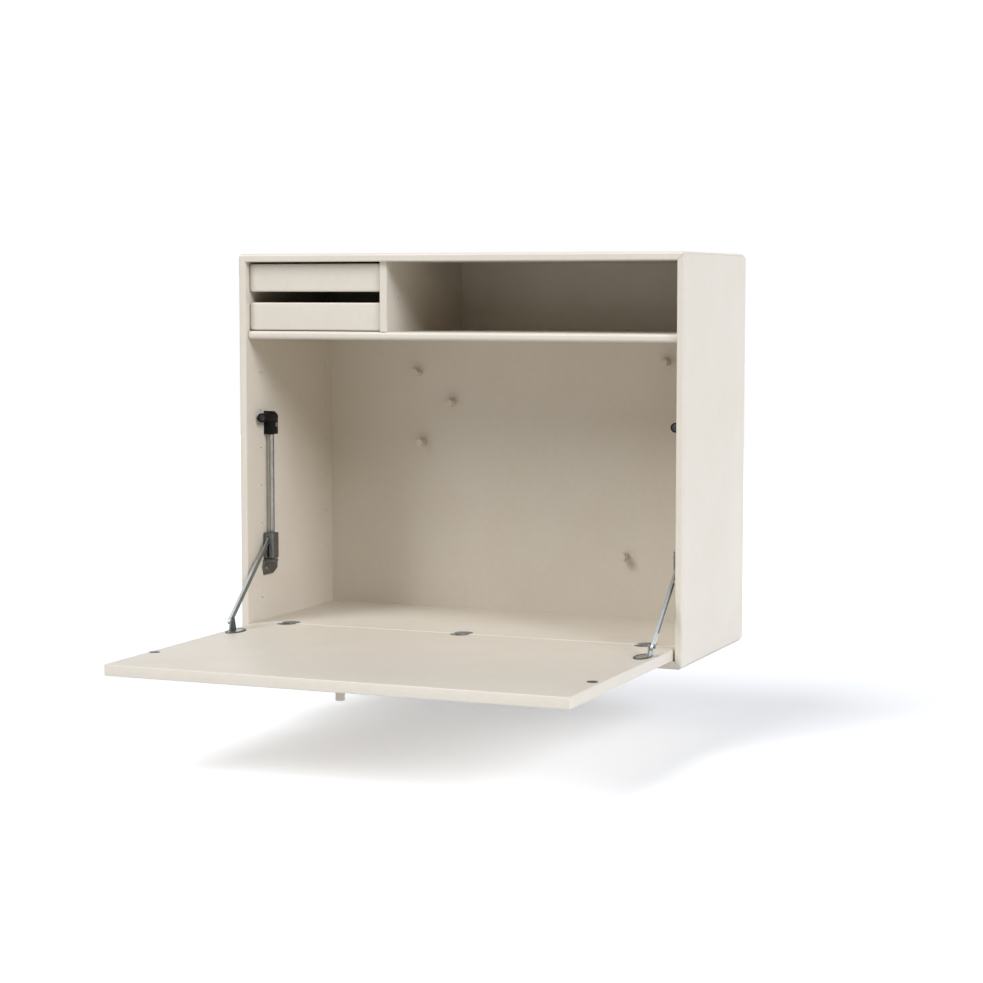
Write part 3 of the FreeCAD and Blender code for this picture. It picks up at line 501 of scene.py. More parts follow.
class Finishes:
    """All finishes of the desk, each made once."""

    def __init__(self) -> None:
        """Make every material."""
        self.lacquer = SatinLacquer().build()
        # The boards of the outer frame are mitred, so only they carry the hairline seam.
        self.frame_lacquer = SatinLacquer(name="satin_lacquer_mitred", mitre_seam=True).build()
        # The pegs are turned, so their spray coat is thinner and a little glossier.
        self.peg = SatinLacquer(name="peg_lacquer", colour="D6CDBE", shade="CFC5B4", gloss_low=0.30,
                                gloss_high=0.40, peel_size=1.6 * MM, peel_depth=0.006 * MM).build()
        self.rod = DrawnSteel().build()
        # The arms are pressed from galvanised strip, duller than the rods.
        self.arm = DrawnSteel(name="galvanised_strip_steel", colour="AFB2B1", shade="9FA2A1",
                              roughness=0.38, metal=0.78, stretch=(1.0, 0.05, 0.05)).build()
        # Its outer side is painted brighter than the strip, a painted highlight of the light that falls
        # on it.
        self.arm_outer = DrawnSteel(name="galvanised_strip_outer_painted_highlight", colour="CDD0CE", shade="BFC2C0",
                                    roughness=0.34, metal=0.85, stretch=(1.0, 0.05, 0.05)).build()
        # Its inner side is painted a duller grey, as painted shade and a painted reflection of the dark
        # cabinet.
        self.arm_inner = DrawnSteel(name="galvanised_strip_inner_painted_shade", colour="949B9C", shade="868D8E",
                                    roughness=0.42, metal=0.80, stretch=(1.0, 0.05, 0.05)).build()
        self.zinc = GreyZinc().build()
        # The hinges have the same plating, a little rougher and less metallic.
        self.hinge = GreyZinc(name="hinge_zinc", colour="777C7B", shade="6B706F",
                              roughness=0.36, metal=0.5).build()
        self.screw = DrawnSteel(name="screw_steel", colour="A9ACAD", shade="8F9293", roughness=0.30,
                                stretch=(1.0, 1.0, 1.0)).build()
        # The blade is the same casting, painted darker as painted shade; its outer side is a painted
        # highlight.
        self.blade = GreyZinc(name="blade_zinc_painted_shade", colour="5F6362", shade="525655",
                              roughness=0.40, metal=0.6).build()
        self.blade_outer_painted_highlight = GreyZinc(name="blade_zinc_painted_highlight", colour="B9BCBB", shade="AAADAC",
                                    roughness=0.34, metal=0.8).build()
        # The middle of a leaf bracket's plate is painted lighter than its rim, a painted reflection of
        # the white surroundings.
        self.ground = DrawnSteel(name="plate_middle_painted_reflection", colour="B8BCBC", shade="A9AEAE",
                                 roughness=0.24, metal=1.0, stretch=(0.08, 1.0, 1.0)).build()
        # The hollow of a cross recess is painted dark, as painted shade.
        self.recess = MouldedPlastic(name="screw_recess_painted_shade", colour="2B2C2D", shade="222324",
                                     roughness=0.5).build()
        self.plastic = MouldedPlastic().build()
        # The runners are extruded strip, smoother than the moulded heads.
        self.runner = MouldedPlastic(name="extruded_runner", colour="222224", shade="2A2A2C",
                                     roughness=0.5).build()
        self.fixing = DrawnSteel(name="fixing_plate_steel", colour="B9BBB9", shade="A3A6A3",
                                 roughness=0.38, stretch=(0.03, 1.0, 1.0)).build()


# ---------------------------------------------------------------- modelling by hand


def clear_selection() -> None:
    """Leave edit mode and deselect every object."""
    if bpy.context.mode != "OBJECT":
        bpy.ops.object.mode_set(mode="OBJECT")
    bpy.ops.object.select_all(action="DESELECT")


def take(piece: Piece) -> None:
    """Select one piece alone and make it active."""
    clear_selection()
    piece.select_set(True)
    bpy.context.view_layer.objects.active = piece


def settle(name: str) -> Piece:
    """Name the active object and take its place, turn and scale into its mesh."""
    piece = bpy.context.active_object
    bpy.ops.object.transform_apply(location=True, rotation=True, scale=True)
    piece.name = name
    piece.data.name = name
    return piece


def block(name: str, low: Vector, high: Vector) -> Piece:
    """Start a piece from a cube drawn out to two corners.

    Args:
        name: the piece's name.
        low: lowest corner.
        high: highest corner.

    Returns:
        The new object, at the origin with its place in its mesh.
    """
    clear_selection()
    bpy.ops.mesh.primitive_cube_add(size=1.0, location=(low + high) / 2.0)
    bpy.context.active_object.scale = high - low
    return settle(name)


def bar(name: str, start: Vector, end: Vector, radius: float, sides: int = 48) -> Piece:
    """Start a piece from a cylinder between two points.

    Args:
        name: the piece's name.
        start: centre of one end.
        end: centre of the other end.
        radius: its radius.
        sides: how many sides it has.

    Returns:
        The new object, at the origin with its place in its mesh.
    """
    clear_selection()
    path = end - start
    bpy.ops.mesh.primitive_cylinder_add(vertices=sides, radius=radius, depth=path.length,
                                        location=(start + end) / 2.0,
                                        rotation=path.to_track_quat("Z", "Y").to_euler())
    return settle(name)


def pick(piece: Piece, element: Element, rule: Callable[[Any], bool]) -> int:
    """Enter edit mode and select the corners, edges or faces that pass a rule.

    Args:
        piece: the piece to shape.
        element: corners, edges or faces.
        rule: true for an element that is wanted.

    Returns:
        How many were selected.
    """
    take(piece)
    bpy.ops.object.mode_set(mode="EDIT")
    bpy.ops.mesh.select_mode(type=element.value)
    bpy.ops.mesh.select_all(action="DESELECT")
    mesh = bmesh.from_edit_mesh(piece.data)
    elements = {Element.CORNERS: mesh.verts, Element.EDGES: mesh.edges, Element.FACES: mesh.faces}
    wanted = [item for item in elements[element] if rule(item)]
    for item in wanted:
        item.select_set(True)
    bmesh.update_edit_mesh(piece.data)
    return len(wanted)


def edge_lies(edge: Any, tests: list[tuple[int, float]], reach: float = 0.02 * MM) -> bool:
    """True for an edge or face whose corners all lie at the given coordinates."""
    return all(abs(corner.co[axis] - value) < reach for corner in edge.verts for axis, value in tests)


def edge_runs(edge: Any, axis: int, least: float = 5.0 * MM) -> bool:
    """True for an edge that runs at least so far along an axis."""
    return abs(edge.verts[0].co[axis] - edge.verts[1].co[axis]) > least


def edge_ends(edge: Any, outward: Vector, level: float, reach: float = 0.02 * MM) -> bool:
    """True for an edge that lies so far out along a direction, as a bar's end does."""
    return all(abs(corner.co.dot(outward) - level) < reach for corner in edge.verts)


def round_over(piece: Piece, rule: Callable[[Any], bool], width: float,
               segments: int, clamp: bool = True) -> None:
    """Bevel the picked edges to a round.

    Args:
        piece: the piece to shape.
        rule: true for an edge to round.
        width: radius of the round.
        segments: steps in the round.
        clamp: false where the round follows a corner made of short steps.
    """
    if pick(piece, Element.EDGES, rule):
        bpy.ops.mesh.bevel(offset_type="OFFSET", offset=width, segments=segments, profile=0.5,
                           affect="EDGES", clamp_overlap=clamp)
    bpy.ops.object.mode_set(mode="OBJECT")


def shift(piece: Piece, rule: Callable[[Vector], bool], move: Vector) -> None:
    """Move the corners that pass a rule.

    Args:
        piece: the piece to shape.
        rule: true for the place of a corner that moves.
        move: how far it moves.
    """
    pick(piece, Element.CORNERS, lambda corner: rule(corner.co))
    bpy.ops.transform.translate(value=move)
    bpy.ops.object.mode_set(mode="OBJECT")


def apply_modifier(piece: Piece, kind: str, settings: dict[str, Any]) -> None:
    """Add a modifier with its settings and apply it.

    Args:
        piece: the piece that it changes.
        kind: the modifier's type.
        settings: its attributes.
    """
    take(piece)
    modifier = piece.modifiers.new(kind.lower(), kind)
    for name, value in settings.items():
        setattr(modifier, name, value)
    bpy.ops.object.modifier_apply(modifier=modifier.name)


def ease(piece: Piece, width: float, segments: int = 3,
         sharp: float = SMOOTH_ANGLE) -> None:
    """Take the sharpness off every sharp edge, and shade what is round smoothly.

    Args:
        piece: the piece to finish.
        width: width of the eased edge.
        segments: steps across it.
        sharp: angle in degrees above which an edge counts as sharp.
    """
    apply_modifier(piece, "BEVEL", {"width": width, "segments": segments, "limit_method": "ANGLE",
                                    "angle_limit": math.radians(sharp), "harden_normals": False,
                                    "use_clamp_overlap": True})
    smooth(piece)


def smooth(piece: Piece, angle: float = SMOOTH_ANGLE) -> None:
    """Shade smoothly across every edge flatter than the angle in degrees."""
    take(piece)
    bpy.ops.object.shade_smooth_by_angle(angle=math.radians(angle))


def carve(piece: Piece, tool: Piece, operation: str = "DIFFERENCE") -> None:
    """Cut a tool out of a piece, or join it on, and remove the tool.

    Args:
        piece: the piece that is changed.
        tool: the shape that cuts or joins.
        operation: DIFFERENCE or UNION.
    """
    apply_modifier(piece, "BOOLEAN", {"operation": operation, "solver": "EXACT", "object": tool,
                                      "material_mode": "TRANSFER" if tool.data.materials else "INDEX"})
    bpy.data.objects.remove(tool, do_unlink=True)


def copy_of_node(name: str, node: str) -> Piece:
    """Start a piece from a CAD node's shape, merged into whole faces.

    Args:
        name: the piece's name.
        node: the CAD node.

    Returns:
        The new object.
    """
    piece = bpy.data.objects.new(name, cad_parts[node].data.copy())
    bpy.context.scene.collection.objects.link(piece)
    piece.data.name = name
    piece.data.materials.clear()
    take(piece)
    bpy.ops.mesh.customdata_custom_splitnormals_clear()
    bpy.ops.object.mode_set(mode="EDIT")
    bpy.ops.mesh.select_all(action="SELECT")
    bpy.ops.mesh.remove_doubles(threshold=0.002 * MM)
    bpy.ops.mesh.dissolve_limited(angle_limit=math.radians(0.6))
    bpy.ops.object.mode_set(mode="OBJECT")
    return piece


def duplicate(piece: Piece, name: str, move: Vector) -> Piece:
    """Copy a finished piece to another place, with a mesh of its own.

    Args:
        piece: the piece to copy.
        name: the copy's name.
        move: how far it moves.

    Returns:
        The copy.
    """
    twin = bpy.data.objects.new(name, piece.data.copy())
    bpy.context.scene.collection.objects.link(twin)
    twin.data.name = name
    twin.data.transform(Matrix.Translation(move))
    return twin


def both_sides(low: Vector, high: Vector, inset: float) -> tuple[tuple[Side, float], ...]:
    """Each side with the X that lies so far inside its end of a box."""
    return (Side.LEFT, low.x + inset), (Side.RIGHT, high.x - inset)


def coat(piece: Piece, material: Material) -> None:
    """Give the whole piece one material."""
    piece.data.materials.clear()
    piece.data.materials.append(material)


def coat_nodes(names: Iterable[str], material: Material) -> None:
    """Give CAD nodes that keep their shape a finished material.

    Args:
        names: the nodes.
        material: their finish.
    """
    for name in names:
        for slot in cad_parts[name].material_slots:
            slot.material = material
        log.info("node %s keeps its shape, finish %s", name, material.name)


def coat_sides(piece: Piece, edges: Material, inner: Material,
               outer: Material) -> None:
    """Give a piece one material on its edges and one on each of its flat sides.

    Args:
        piece: the piece.
        edges: finish of all that looks neither left nor right.
        inner: finish of the faces that look towards the middle of the desk.
        outer: finish of the faces that look away from it.
    """
    coat(piece, edges)
    piece.data.materials.append(inner)
    piece.data.materials.append(outer)
    for face in piece.data.polygons:
        if abs(face.normal.x) > 0.5:
            face.material_index = 2 if face.normal.x * face.center.x > 0.0 else 1


def place(piece: Piece, body: str, slot: str, nodes: Iterable[str] = (),
          material: Material | None = None) -> None:
    """Let a finished piece ride on its body and stand for its nodes.

    Args:
        piece: the finished piece.
        body: the CAD body that carries it.
        slot: the record's material slot; not used.
        nodes: the CAD nodes that it stands for.
        material: its finish, if it has none yet.
    """
    if material is not None:
        coat(piece, material)
    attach(piece, body)
    nodes = list(nodes)
    if nodes:
        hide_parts(*nodes)
    log.info("piece %s on %s: %d faces", piece.name, body, len(piece.data.polygons))


# ---------------------------------------------------------------- sub-assemblies


@dataclass
class Carcass:
    """Mitred frame, back, shelf, divider and inner floor."""

    finishes: Finishes
    frame_boards: tuple[str, ...] = ("panel_bottom", "panel_top", "panel_left", "panel_right")
    inner_boards: tuple[str, ...] = ("back_panel", "divider", "inner_floor")
    shelf_end: float = 0.8 * MM
    shelf_nose: float = 4.6 * MM
    pin_room: float = 0.1 * MM
    pin_grip: float = 10.0 * MM

    def build(self) -> None:
        """Give the boards their lacquer and the hidden steel its plating."""
        coat_nodes(self.frame_boards, self.finishes.frame_lacquer)
        coat_nodes(self.inner_boards, self.finishes.lacquer)
        coat_nodes(("shelf_pins", "fixing_plates"), self.finishes.fixing)
        self.shelf()

    def shelf(self) -> None:
        """The shelf: one soft nose along its whole front, then both its ends rounded."""
        low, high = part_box("shelf")
        piece = block("shelf_nosed", low, high)
        for z in (low.z, high.z):
            round_over(piece, lambda edge, z=z: edge_lies(edge, [(1, low.y), (2, z)]),
                       self.shelf_nose, 8)
        reach = low.y + self.shelf_nose + 0.1 * MM
        for x in (low.x, high.x):
            round_over(piece, lambda edge, x=x: edge_lies(edge, [(0, x)])
                       and all(corner.co.y < reach for corner in edge.verts), self.shelf_end, 5, False)
        pins_low, pins_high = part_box("shelf_pins")
        radius = (pins_high.z - pins_low.z) / 2.0 + self.pin_room
        height = (pins_high.z + pins_low.z) / 2.0
        for y in (pins_low.y + radius - self.pin_room, pins_high.y - radius + self.pin_room):
            for x, inward in ((low.x, 1.0), (high.x, -1.0)):
                carve(piece, bar("pin_hole", Vector((x - inward * MM, y, height)),
                                 Vector((x + inward * self.pin_grip, y, height)), radius, 24))
        smooth(piece, CORNER_ANGLE)
        place(piece, "cabinet", "lacquer", ["shelf"], self.finishes.lacquer)


@dataclass
class Pegs:
    """Round pegs on the back panel, and the knob under the leaf."""

    finishes: Finishes
    radius: float = 6.25 * MM
    rim: float = 1.1 * MM

    def turned(self, name: str, base: Vector, tip: Vector) -> Piece:
        """Turn one peg with a rounded rim.

        Args:
            name: the peg's name.
            base: centre of the end that stands on the board.
            tip: centre of the free end.

        Returns:
            The peg.
        """
        piece = bar(name, base, tip, self.radius, 56)
        outward = (tip - base).normalized()
        level = tip.dot(outward)
        round_over(piece, lambda edge: edge_ends(edge, outward, level), self.rim, 4)
        smooth(piece)
        coat(piece, self.finishes.peg)
        return piece

    def build(self) -> None:
        """Stand the pegs on the back and the knob on the leaf."""
        places = self.peg_places()
        low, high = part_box("pegs")
        first = places[0]
        made = [self.turned("peg_1", Vector((first.x, high.y, first.z)),
                            Vector((first.x, low.y, first.z)))]
        for number, spot in enumerate(places[1:], start=2):
            made.append(duplicate(made[0], "peg_%d" % number, spot - first))
        for piece in made:
            place(piece, "cabinet", "peg", ["pegs"])
        low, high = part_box("leaf_knob")
        middle = (low + high) / 2.0
        knob = self.turned("leaf_knob_turned", Vector((middle.x, middle.y, high.z)),
                           Vector((middle.x, middle.y, low.z)))
        place(knob, "leaf", "peg", ["leaf_knob"])

    def peg_places(self) -> list[Vector]:
        """Centres of the pegs, read from the separate shapes of the CAD node."""
        groups: list[list[Vector]] = []
        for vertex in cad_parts["pegs"].data.vertices:
            corner = vertex.co.copy()
            for group in groups:
                if (group[0].xz - corner.xz).length < 2.1 * self.radius:
                    group.append(corner)
                    break
            else:
                groups.append([corner])
        centres = []
        for group in groups:
            xs = [c.x for c in group]
            zs = [c.z for c in group]
            centres.append(Vector(((min(xs) + max(xs)) / 2.0, 0.0, (min(zs) + max(zs)) / 2.0)))
        return centres


@dataclass
class Trays:
    """Two shallow trays with rounded fronts."""

    finishes: Finishes
    corner: float = 4.4 * MM
    edge: float = 2.4 * MM
    wider: float = 1.4 * MM

    def build(self) -> None:
        """Shape both fronts and finish the boxes and runners."""
        for level in ("lower", "upper"):
            self.front(level)
            coat_nodes(("tray_box_" + level,), self.finishes.lacquer)
            coat_nodes(("runner_%s_left" % level, "runner_%s_right" % level), self.finishes.runner)

    def front(self, level: str) -> None:
        """One tray front: rounded corners, then a round-over along its whole front edge.

        Args:
            level: lower or upper.
        """
        low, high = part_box("tray_front_" + level)
        low.x -= self.wider
        high.x += self.wider
        piece = block("tray_front_%s_shaped" % level, low, high)
        round_over(piece, lambda edge: edge_runs(edge, 1), self.corner, 8)
        round_over(piece, lambda edge: edge_lies(edge, [(1, low.y)]), self.edge, 7, False)
        smooth(piece, CORNER_ANGLE)
        place(piece, "tray_" + level, "lacquer", ["tray_front_" + level], self.finishes.lacquer)


@dataclass
class Leaf:
    """The drop leaf with its two strike discs."""

    finishes: Finishes
    heel_round: float = 8.8 * MM
    rear_round: float = 2.385 * MM
    edge_round: float = 1.3 * MM
    seat_gap: float = 0.12 * MM
    strike_rim: float = 0.45 * MM

    def build(self) -> None:
        """Shape the board and its strikes."""
        self.board()
        self.strikes()

    def board(self) -> None:
        """One board: round heel, eased edges all round, pockets for hinges and strikes."""
        low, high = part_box("leaf_panel")
        piece = block("leaf_board", low, high)
        round_over(piece, lambda edge: edge_lies(edge, [(1, high.y), (2, low.z)]), self.heel_round, 12)
        round_over(piece, lambda edge: edge_lies(edge, [(1, high.y), (2, high.z)]), self.rear_round, 5)
        apply_modifier(piece, "BEVEL", {"width": self.edge_round, "segments": 5,
                                        "limit_method": "ANGLE",
                                        "angle_limit": math.radians(CORNER_ANGLE),
                                        "use_clamp_overlap": True})
        for centre, radius, floor in self.pockets():
            tool = bar("pocket", Vector((centre.x, centre.y, floor)),
                       Vector((centre.x, centre.y, high.z + 3 * MM)), radius, 56)
            carve(piece, tool)
        smooth(piece)
        place(piece, "leaf", "lacquer", ["leaf_panel"], self.finishes.lacquer)

    def pockets(self) -> list[tuple[Vector, float, float]]:
        """Centre, radius and floor height of every round pocket in the upper face."""
        found = []
        low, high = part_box("hinge_leaf_halves")
        radius = LeafHinges.disc_radius
        span = (high.x - low.x) / 2.0 - radius
        for x in (-span, 0.0, span):
            centre = Vector((x, low.y + radius, 0.0))
            found.append((centre, radius + self.seat_gap, low.z - self.seat_gap))
        low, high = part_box("strikes")
        radius = (high.y - low.y) / 2.0
        for _, x in both_sides(low, high, radius):
            centre = Vector((x, (low.y + high.y) / 2.0, 0.0))
            found.append((centre, radius + self.seat_gap, low.z - self.seat_gap))
        return found

    def strikes(self) -> None:
        """Two turned discs with a small chamfer, a little proud of the leaf."""
        low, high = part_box("strikes")
        radius = (high.y - low.y) / 2.0
        middle = (low.y + high.y) / 2.0
        for side, x in both_sides(low, high, radius):
            name = "strike_" + side.name.lower()
            piece = bar(name, Vector((x, middle, low.z)), Vector((x, middle, high.z)), radius, 64)
            round_over(piece, lambda edge: edge_lies(edge, [(2, high.z)]), self.strike_rim, 3)
            smooth(piece)
            coat(piece, TurnedFace(name + "_face", (x, middle, high.z), "Z", colour="4A4A52",
                                   shade="3A3A42", roughness=0.28).build())
            place(piece, "leaf", "dark_steel", ["strikes"])


@dataclass
class LeafHinges:
    """Mortised hinges: two discs that meet at the joint, with a knuckle between them."""

    finishes: Finishes
    disc_radius: float = 14.0 * MM
    rim: float = 0.35 * MM

    def build(self) -> None:
        """Ease both halves of the three hinges."""
        for name, node, body in (("hinge_leaf_discs", "hinge_leaf_halves", "leaf"),
                                 ("hinge_floor_discs", "hinge_floor_halves", "cabinet")):
            piece = copy_of_node(name, node)
            ease(piece, self.rim, 2)
            place(piece, body, "zinc", [node], self.finishes.hinge)


@dataclass
class Stays:
    """The two slider stays: head, rod, foot, slider, arm and leaf bracket."""

    finishes: Finishes
    rod_chamfer: float = 0.4 * MM
    head_edge: float = 0.6 * MM
    plate_edge: float = 0.5 * MM
    pin_edge: float = 0.35 * MM
    arm_edge: float = 0.3 * MM
    # Seats and faces are the right-hand stay's, and the left-hand ones mirror them.
    arm_head: tuple[float, float, float] = (0.0, -244.5 * MM, -139.0 * MM)
    arm_foot: tuple[float, float, float] = (0.0, -366.5 * MM, -248.5 * MM)
    arm_tail: float = 2.0 * MM
    arm_tail_start: float = 0.4 * MM
    slider_corner: float = 2.4 * MM
    slider_end: float = 1.8 * MM
    slider_rise: float = 1.7 * MM
    slider_drop: float = 0.5 * MM
    slider_cut: float = 2.5 * MM
    bore_room: float = 0.05 * MM
    slot_middle: float = 327.1 * MM
    slot_half: float = 1.6 * MM
    slot_depth: float = 7.9 * MM
    slot_top: float = -135.2 * MM
    foot_trim: float = 2.6 * MM
    foot_front: float = 5.6 * MM
    foot_rear: float = -229.0 * MM
    foot_flange: float = 332.0 * MM
    clamp_screw: float = 3.3 * MM
    clamp_seat: tuple[float, float, float] = (321.0 * MM, -228.4 * MM, 34.0 * MM)
    clamp_height: float = 0.5 * MM
    foot_screw: float = 2.5 * MM
    foot_seat: tuple[float, float, float] = (333.0 * MM, -241.5 * MM, -184.0 * MM)
    foot_height: float = 1.2 * MM
    rivet: float = 1.5 * MM
    rivet_face: float = 317.7 * MM
    rivet_height: float = 0.35 * MM
    head_sink: float = 0.3 * MM
    plate_top: float = -261.5 * MM
    plate_half: float = 11.7 * MM
    blade_cut: float = 0.05 * MM
    blade_sink: float = 0.7 * MM
    ring: float = 3.0 * MM
    ring_wall: float = 0.25 * MM
    ring_depth: float = 0.3 * MM

    def build(self) -> None:
        """Shape the fittings that stand still and the ones that move."""
        self.rods()
        self.eased("stay_heads_moulded", "stay_heads", "cabinet", "black_plastic",
                   self.head_edge, self.finishes.plastic)
        self.feet()
        self.eased("arm_pins_headed", "arm_pins", "leaf", "steel", self.pin_edge, self.finishes.zinc)
        for side in Side:
            self.slider(side)
            self.arm(side)
        self.leaf_brackets()
        self.magnets()
        self.screws()

    def eased(self, name: str, node: str, body: str, slot: str, width: float,
              material: Material) -> None:
        """Finish one fitting from its CAD shape with eased edges.

        Args:
            name: the piece's name.
            node: the CAD node that it stands for.
            body: the body that carries it.
            slot: the record's material slot.
            width: width of the eased edges.
            material: its finish.
        """
        piece = copy_of_node(name, node)
        ease(piece, width)
        place(piece, body, slot, [node], material)

    def arm(self, side: Side) -> None:
        """One pressed arm with eased edges.

        Args:
            side: which stay it belongs to.
        """
        word = side.name.lower()
        piece = copy_of_node("stay_arm_%s_pressed" % word, "stay_arm_" + word)
        foot = Vector(self.arm_foot)
        along = (foot - Vector(self.arm_head)).normalized()
        shift(piece, lambda corner: (corner - foot).dot(along) > self.arm_tail_start,
              along * self.arm_tail)
        ease(piece, self.arm_edge)
        # The inner sides take the painted shade and the outer sides the painted highlight.
        coat_sides(piece, self.finishes.arm, self.finishes.arm_inner, self.finishes.arm_outer)
        place(piece, "arm_" + word, "steel", ["stay_arm_" + word])

    def slider(self, side: Side) -> None:
        """One cast slider: a block with round corners, bored for the rod and slotted for the arm.

        Args:
            side: which stay it belongs to.
        """
        word = side.name.lower()
        low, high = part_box("stay_slider_" + word)
        high.y -= self.slider_cut
        low.z += self.slider_rise
        high.z -= self.slider_drop
        piece = block("stay_slider_%s_cast" % word, low, high)
        round_over(piece, lambda edge: edge_runs(edge, 2), self.slider_corner, 6)
        round_over(piece, lambda edge: edge_lies(edge, [(2, low.z)]) or edge_lies(edge, [(2, high.z)]),
                   self.slider_end, 5, False)
        rod_low, rod_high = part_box("stay_rods")
        rod = (rod_high.y - rod_low.y) / 2.0
        x, y = side.value * (rod_high.x - rod), (rod_low.y + rod_high.y) / 2.0
        carve(piece, bar("bore", Vector((x, y, low.z - MM)), Vector((x, y, high.z + MM)),
                         rod + self.bore_room, 56))
        middle = side.value * self.slot_middle
        carve(piece, block("slot", Vector((middle - self.slot_half, low.y - MM, low.z - MM)),
                           Vector((middle + self.slot_half, low.y + self.slot_depth, self.slot_top))))
        smooth(piece, CORNER_ANGLE)
        place(piece, "slider_" + word, "zinc", ["stay_slider_" + word], self.finishes.zinc)

    def feet(self) -> None:
        """Both foot plates, a little shorter at the front and at the flange's rear, edges eased."""
        piece = copy_of_node("stay_feet_cast", "stay_feet")
        low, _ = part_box("stay_feet")
        trim = Vector((0.0, self.foot_trim, 0.0))
        shift(piece, lambda corner: corner.y < low.y + self.foot_front, trim)
        shift(piece, lambda corner: corner.y > self.foot_rear and abs(corner.x) < self.foot_flange,
              -trim)
        ease(piece, self.plate_edge)
        place(piece, "cabinet", "zinc", ["stay_feet"], self.finishes.zinc)

    def leaf_brackets(self) -> None:
        """Both leaf brackets: the blades, cut off their plates, then an oval plate under each."""
        self.blades()
        low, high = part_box("leaf_brackets")
        for side, x in both_sides(low, high, self.plate_half):
            self.bracket_plate(side, Vector((x, (low.y + high.y) / 2.0, low.z)), (high.y - low.y) / 2.0)

    def blades(self) -> None:
        """Both upright blades, let a little into their plates."""
        blades = copy_of_node("leaf_bracket_blades", "leaf_brackets")
        take(blades)
        bpy.ops.object.mode_set(mode="EDIT")
        bpy.ops.mesh.select_all(action="SELECT")
        level = self.plate_top + self.blade_cut
        bpy.ops.mesh.bisect(plane_co=(0.0, 0.0, level), plane_no=(0.0, 0.0, 1.0),
                            use_fill=True, clear_inner=True)
        bpy.ops.mesh.select_all(action="SELECT")
        bpy.ops.mesh.normals_make_consistent(inside=False)
        bpy.ops.object.mode_set(mode="OBJECT")
        shift(blades, lambda corner: corner.z < level + 0.03 * MM,
              Vector((0.0, 0.0, -self.blade_sink)))
        ease(blades, self.plate_edge)
        # Edges and inner sides take the darker painted shade, outer sides the painted highlight.
        coat_sides(blades, self.finishes.blade, self.finishes.blade, self.finishes.blade_outer_painted_highlight)
        place(blades, "leaf", "zinc", ["leaf_brackets"])

    def bracket_plate(self, side: Side, foot: Vector, half_y: float) -> None:
        """One oval plate with a sunk middle inside its rim, painted lighter as a painted reflection.

        Args:
            side: which stay it belongs to.
            foot: centre of its underside.
            half_y: half its width along Y.
        """
        name = "leaf_bracket_plate_" + side.name.lower()
        top = self.plate_top
        plate = bar(name, Vector((0.0, 0.0, foot.z)), Vector((0.0, 0.0, top)), half_y, 72)
        plate.scale = (self.plate_half / half_y, 1.0, 1.0)
        plate.location = (foot.x, foot.y, 0.0)
        plate = settle(name)
        round_over(plate, lambda edge: edge_lies(edge, [(2, top)]), self.plate_edge, 3)
        coat(plate, self.finishes.blade)
        # The sunk middle takes the lighter painted reflection; the rim keeps the darker painted shade.
        plate.data.materials.append(self.finishes.ground)
        pick(plate, Element.FACES, lambda face: edge_lies(face, [(2, top)], 0.01 * MM))
        bpy.ops.mesh.inset(thickness=self.ring, depth=0.0)
        bpy.ops.mesh.inset(thickness=self.ring_wall, depth=-self.ring_depth)
        plate.active_material_index = 1
        bpy.ops.object.material_slot_assign()
        bpy.ops.object.mode_set(mode="OBJECT")
        smooth(plate)
        place(plate, "leaf", "zinc", ["leaf_brackets"])

    def screw(self, name: str, seat: Vector, outward: Vector, radius: float, height: float) -> None:
        """One domed screw with a cross recess.

        Args:
            name: the screw's name.
            seat: centre of the face that its head stands on.
            outward: the way the head looks.
            radius: radius of the head.
            height: how far the head stands out.
        """
        head = bar(name, seat - outward * self.head_sink, seat + outward * height, radius, 40)
        level = (seat + outward * height).dot(outward)
        round_over(head, lambda edge: edge_ends(edge, outward, level, 0.01 * MM),
                   min(0.45 * radius, 0.85 * height), 4)
        coat(head, self.finishes.screw)
        up = Vector((0.0, 0.0, 1.0))
        middle = seat + outward * 0.9 * height
        for along, across in ((up, outward.cross(up)), (outward.cross(up), up)):
            half = (along * 0.55 + across * 0.13) * radius + outward * 0.45 * height
            half = Vector(tuple(abs(value) for value in half))
            tool = block("recess", middle - half, middle + half)
            # The recess walls take the dark painted shade.
            coat(tool, self.finishes.recess)
            carve(head, tool)
        smooth(head)
        place(head, "cabinet", "steel")

    def screws(self) -> None:
        """Clamp screws in the heads, screws in the feet and rivets in the sliders."""
        for side in Side:
            word = side.name.lower()
            inward = Vector((-side.value, 0.0, 0.0))
            for name, seat, radius, height in (
                    ("clamp_screw_", self.clamp_seat, self.clamp_screw, self.clamp_height),
                    ("foot_screw_", self.foot_seat, self.foot_screw, self.foot_height)):
                self.screw(name + word, Vector((side.value * seat[0], seat[1], seat[2])), inward,
                           radius, height)
            seat = Vector((side.value * self.rivet_face, self.arm_head[1], self.arm_head[2]))
            rivet = bar("slider_rivet_" + word, seat - inward * self.head_sink,
                        seat + inward * self.rivet_height, self.rivet, 36)
            ease(rivet, 0.2 * MM, 2)
            place(rivet, "slider_" + word, "zinc", material=self.finishes.zinc)

    def rods(self) -> None:
        """Two smooth plated rods with chamfered ends."""
        low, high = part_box("stay_rods")
        radius = (high.y - low.y) / 2.0
        middle = (low.y + high.y) / 2.0
        x = low.x + radius
        left = bar("stay_rod_left", Vector((x, middle, low.z)), Vector((x, middle, high.z)), radius, 56)
        ease(left, self.rod_chamfer, 2)
        coat(left, self.finishes.rod)
        right = duplicate(left, "stay_rod_right", Vector((-2.0 * x, 0.0, 0.0)))
        for piece in (left, right):
            place(piece, "cabinet", "steel", ["stay_rods"])

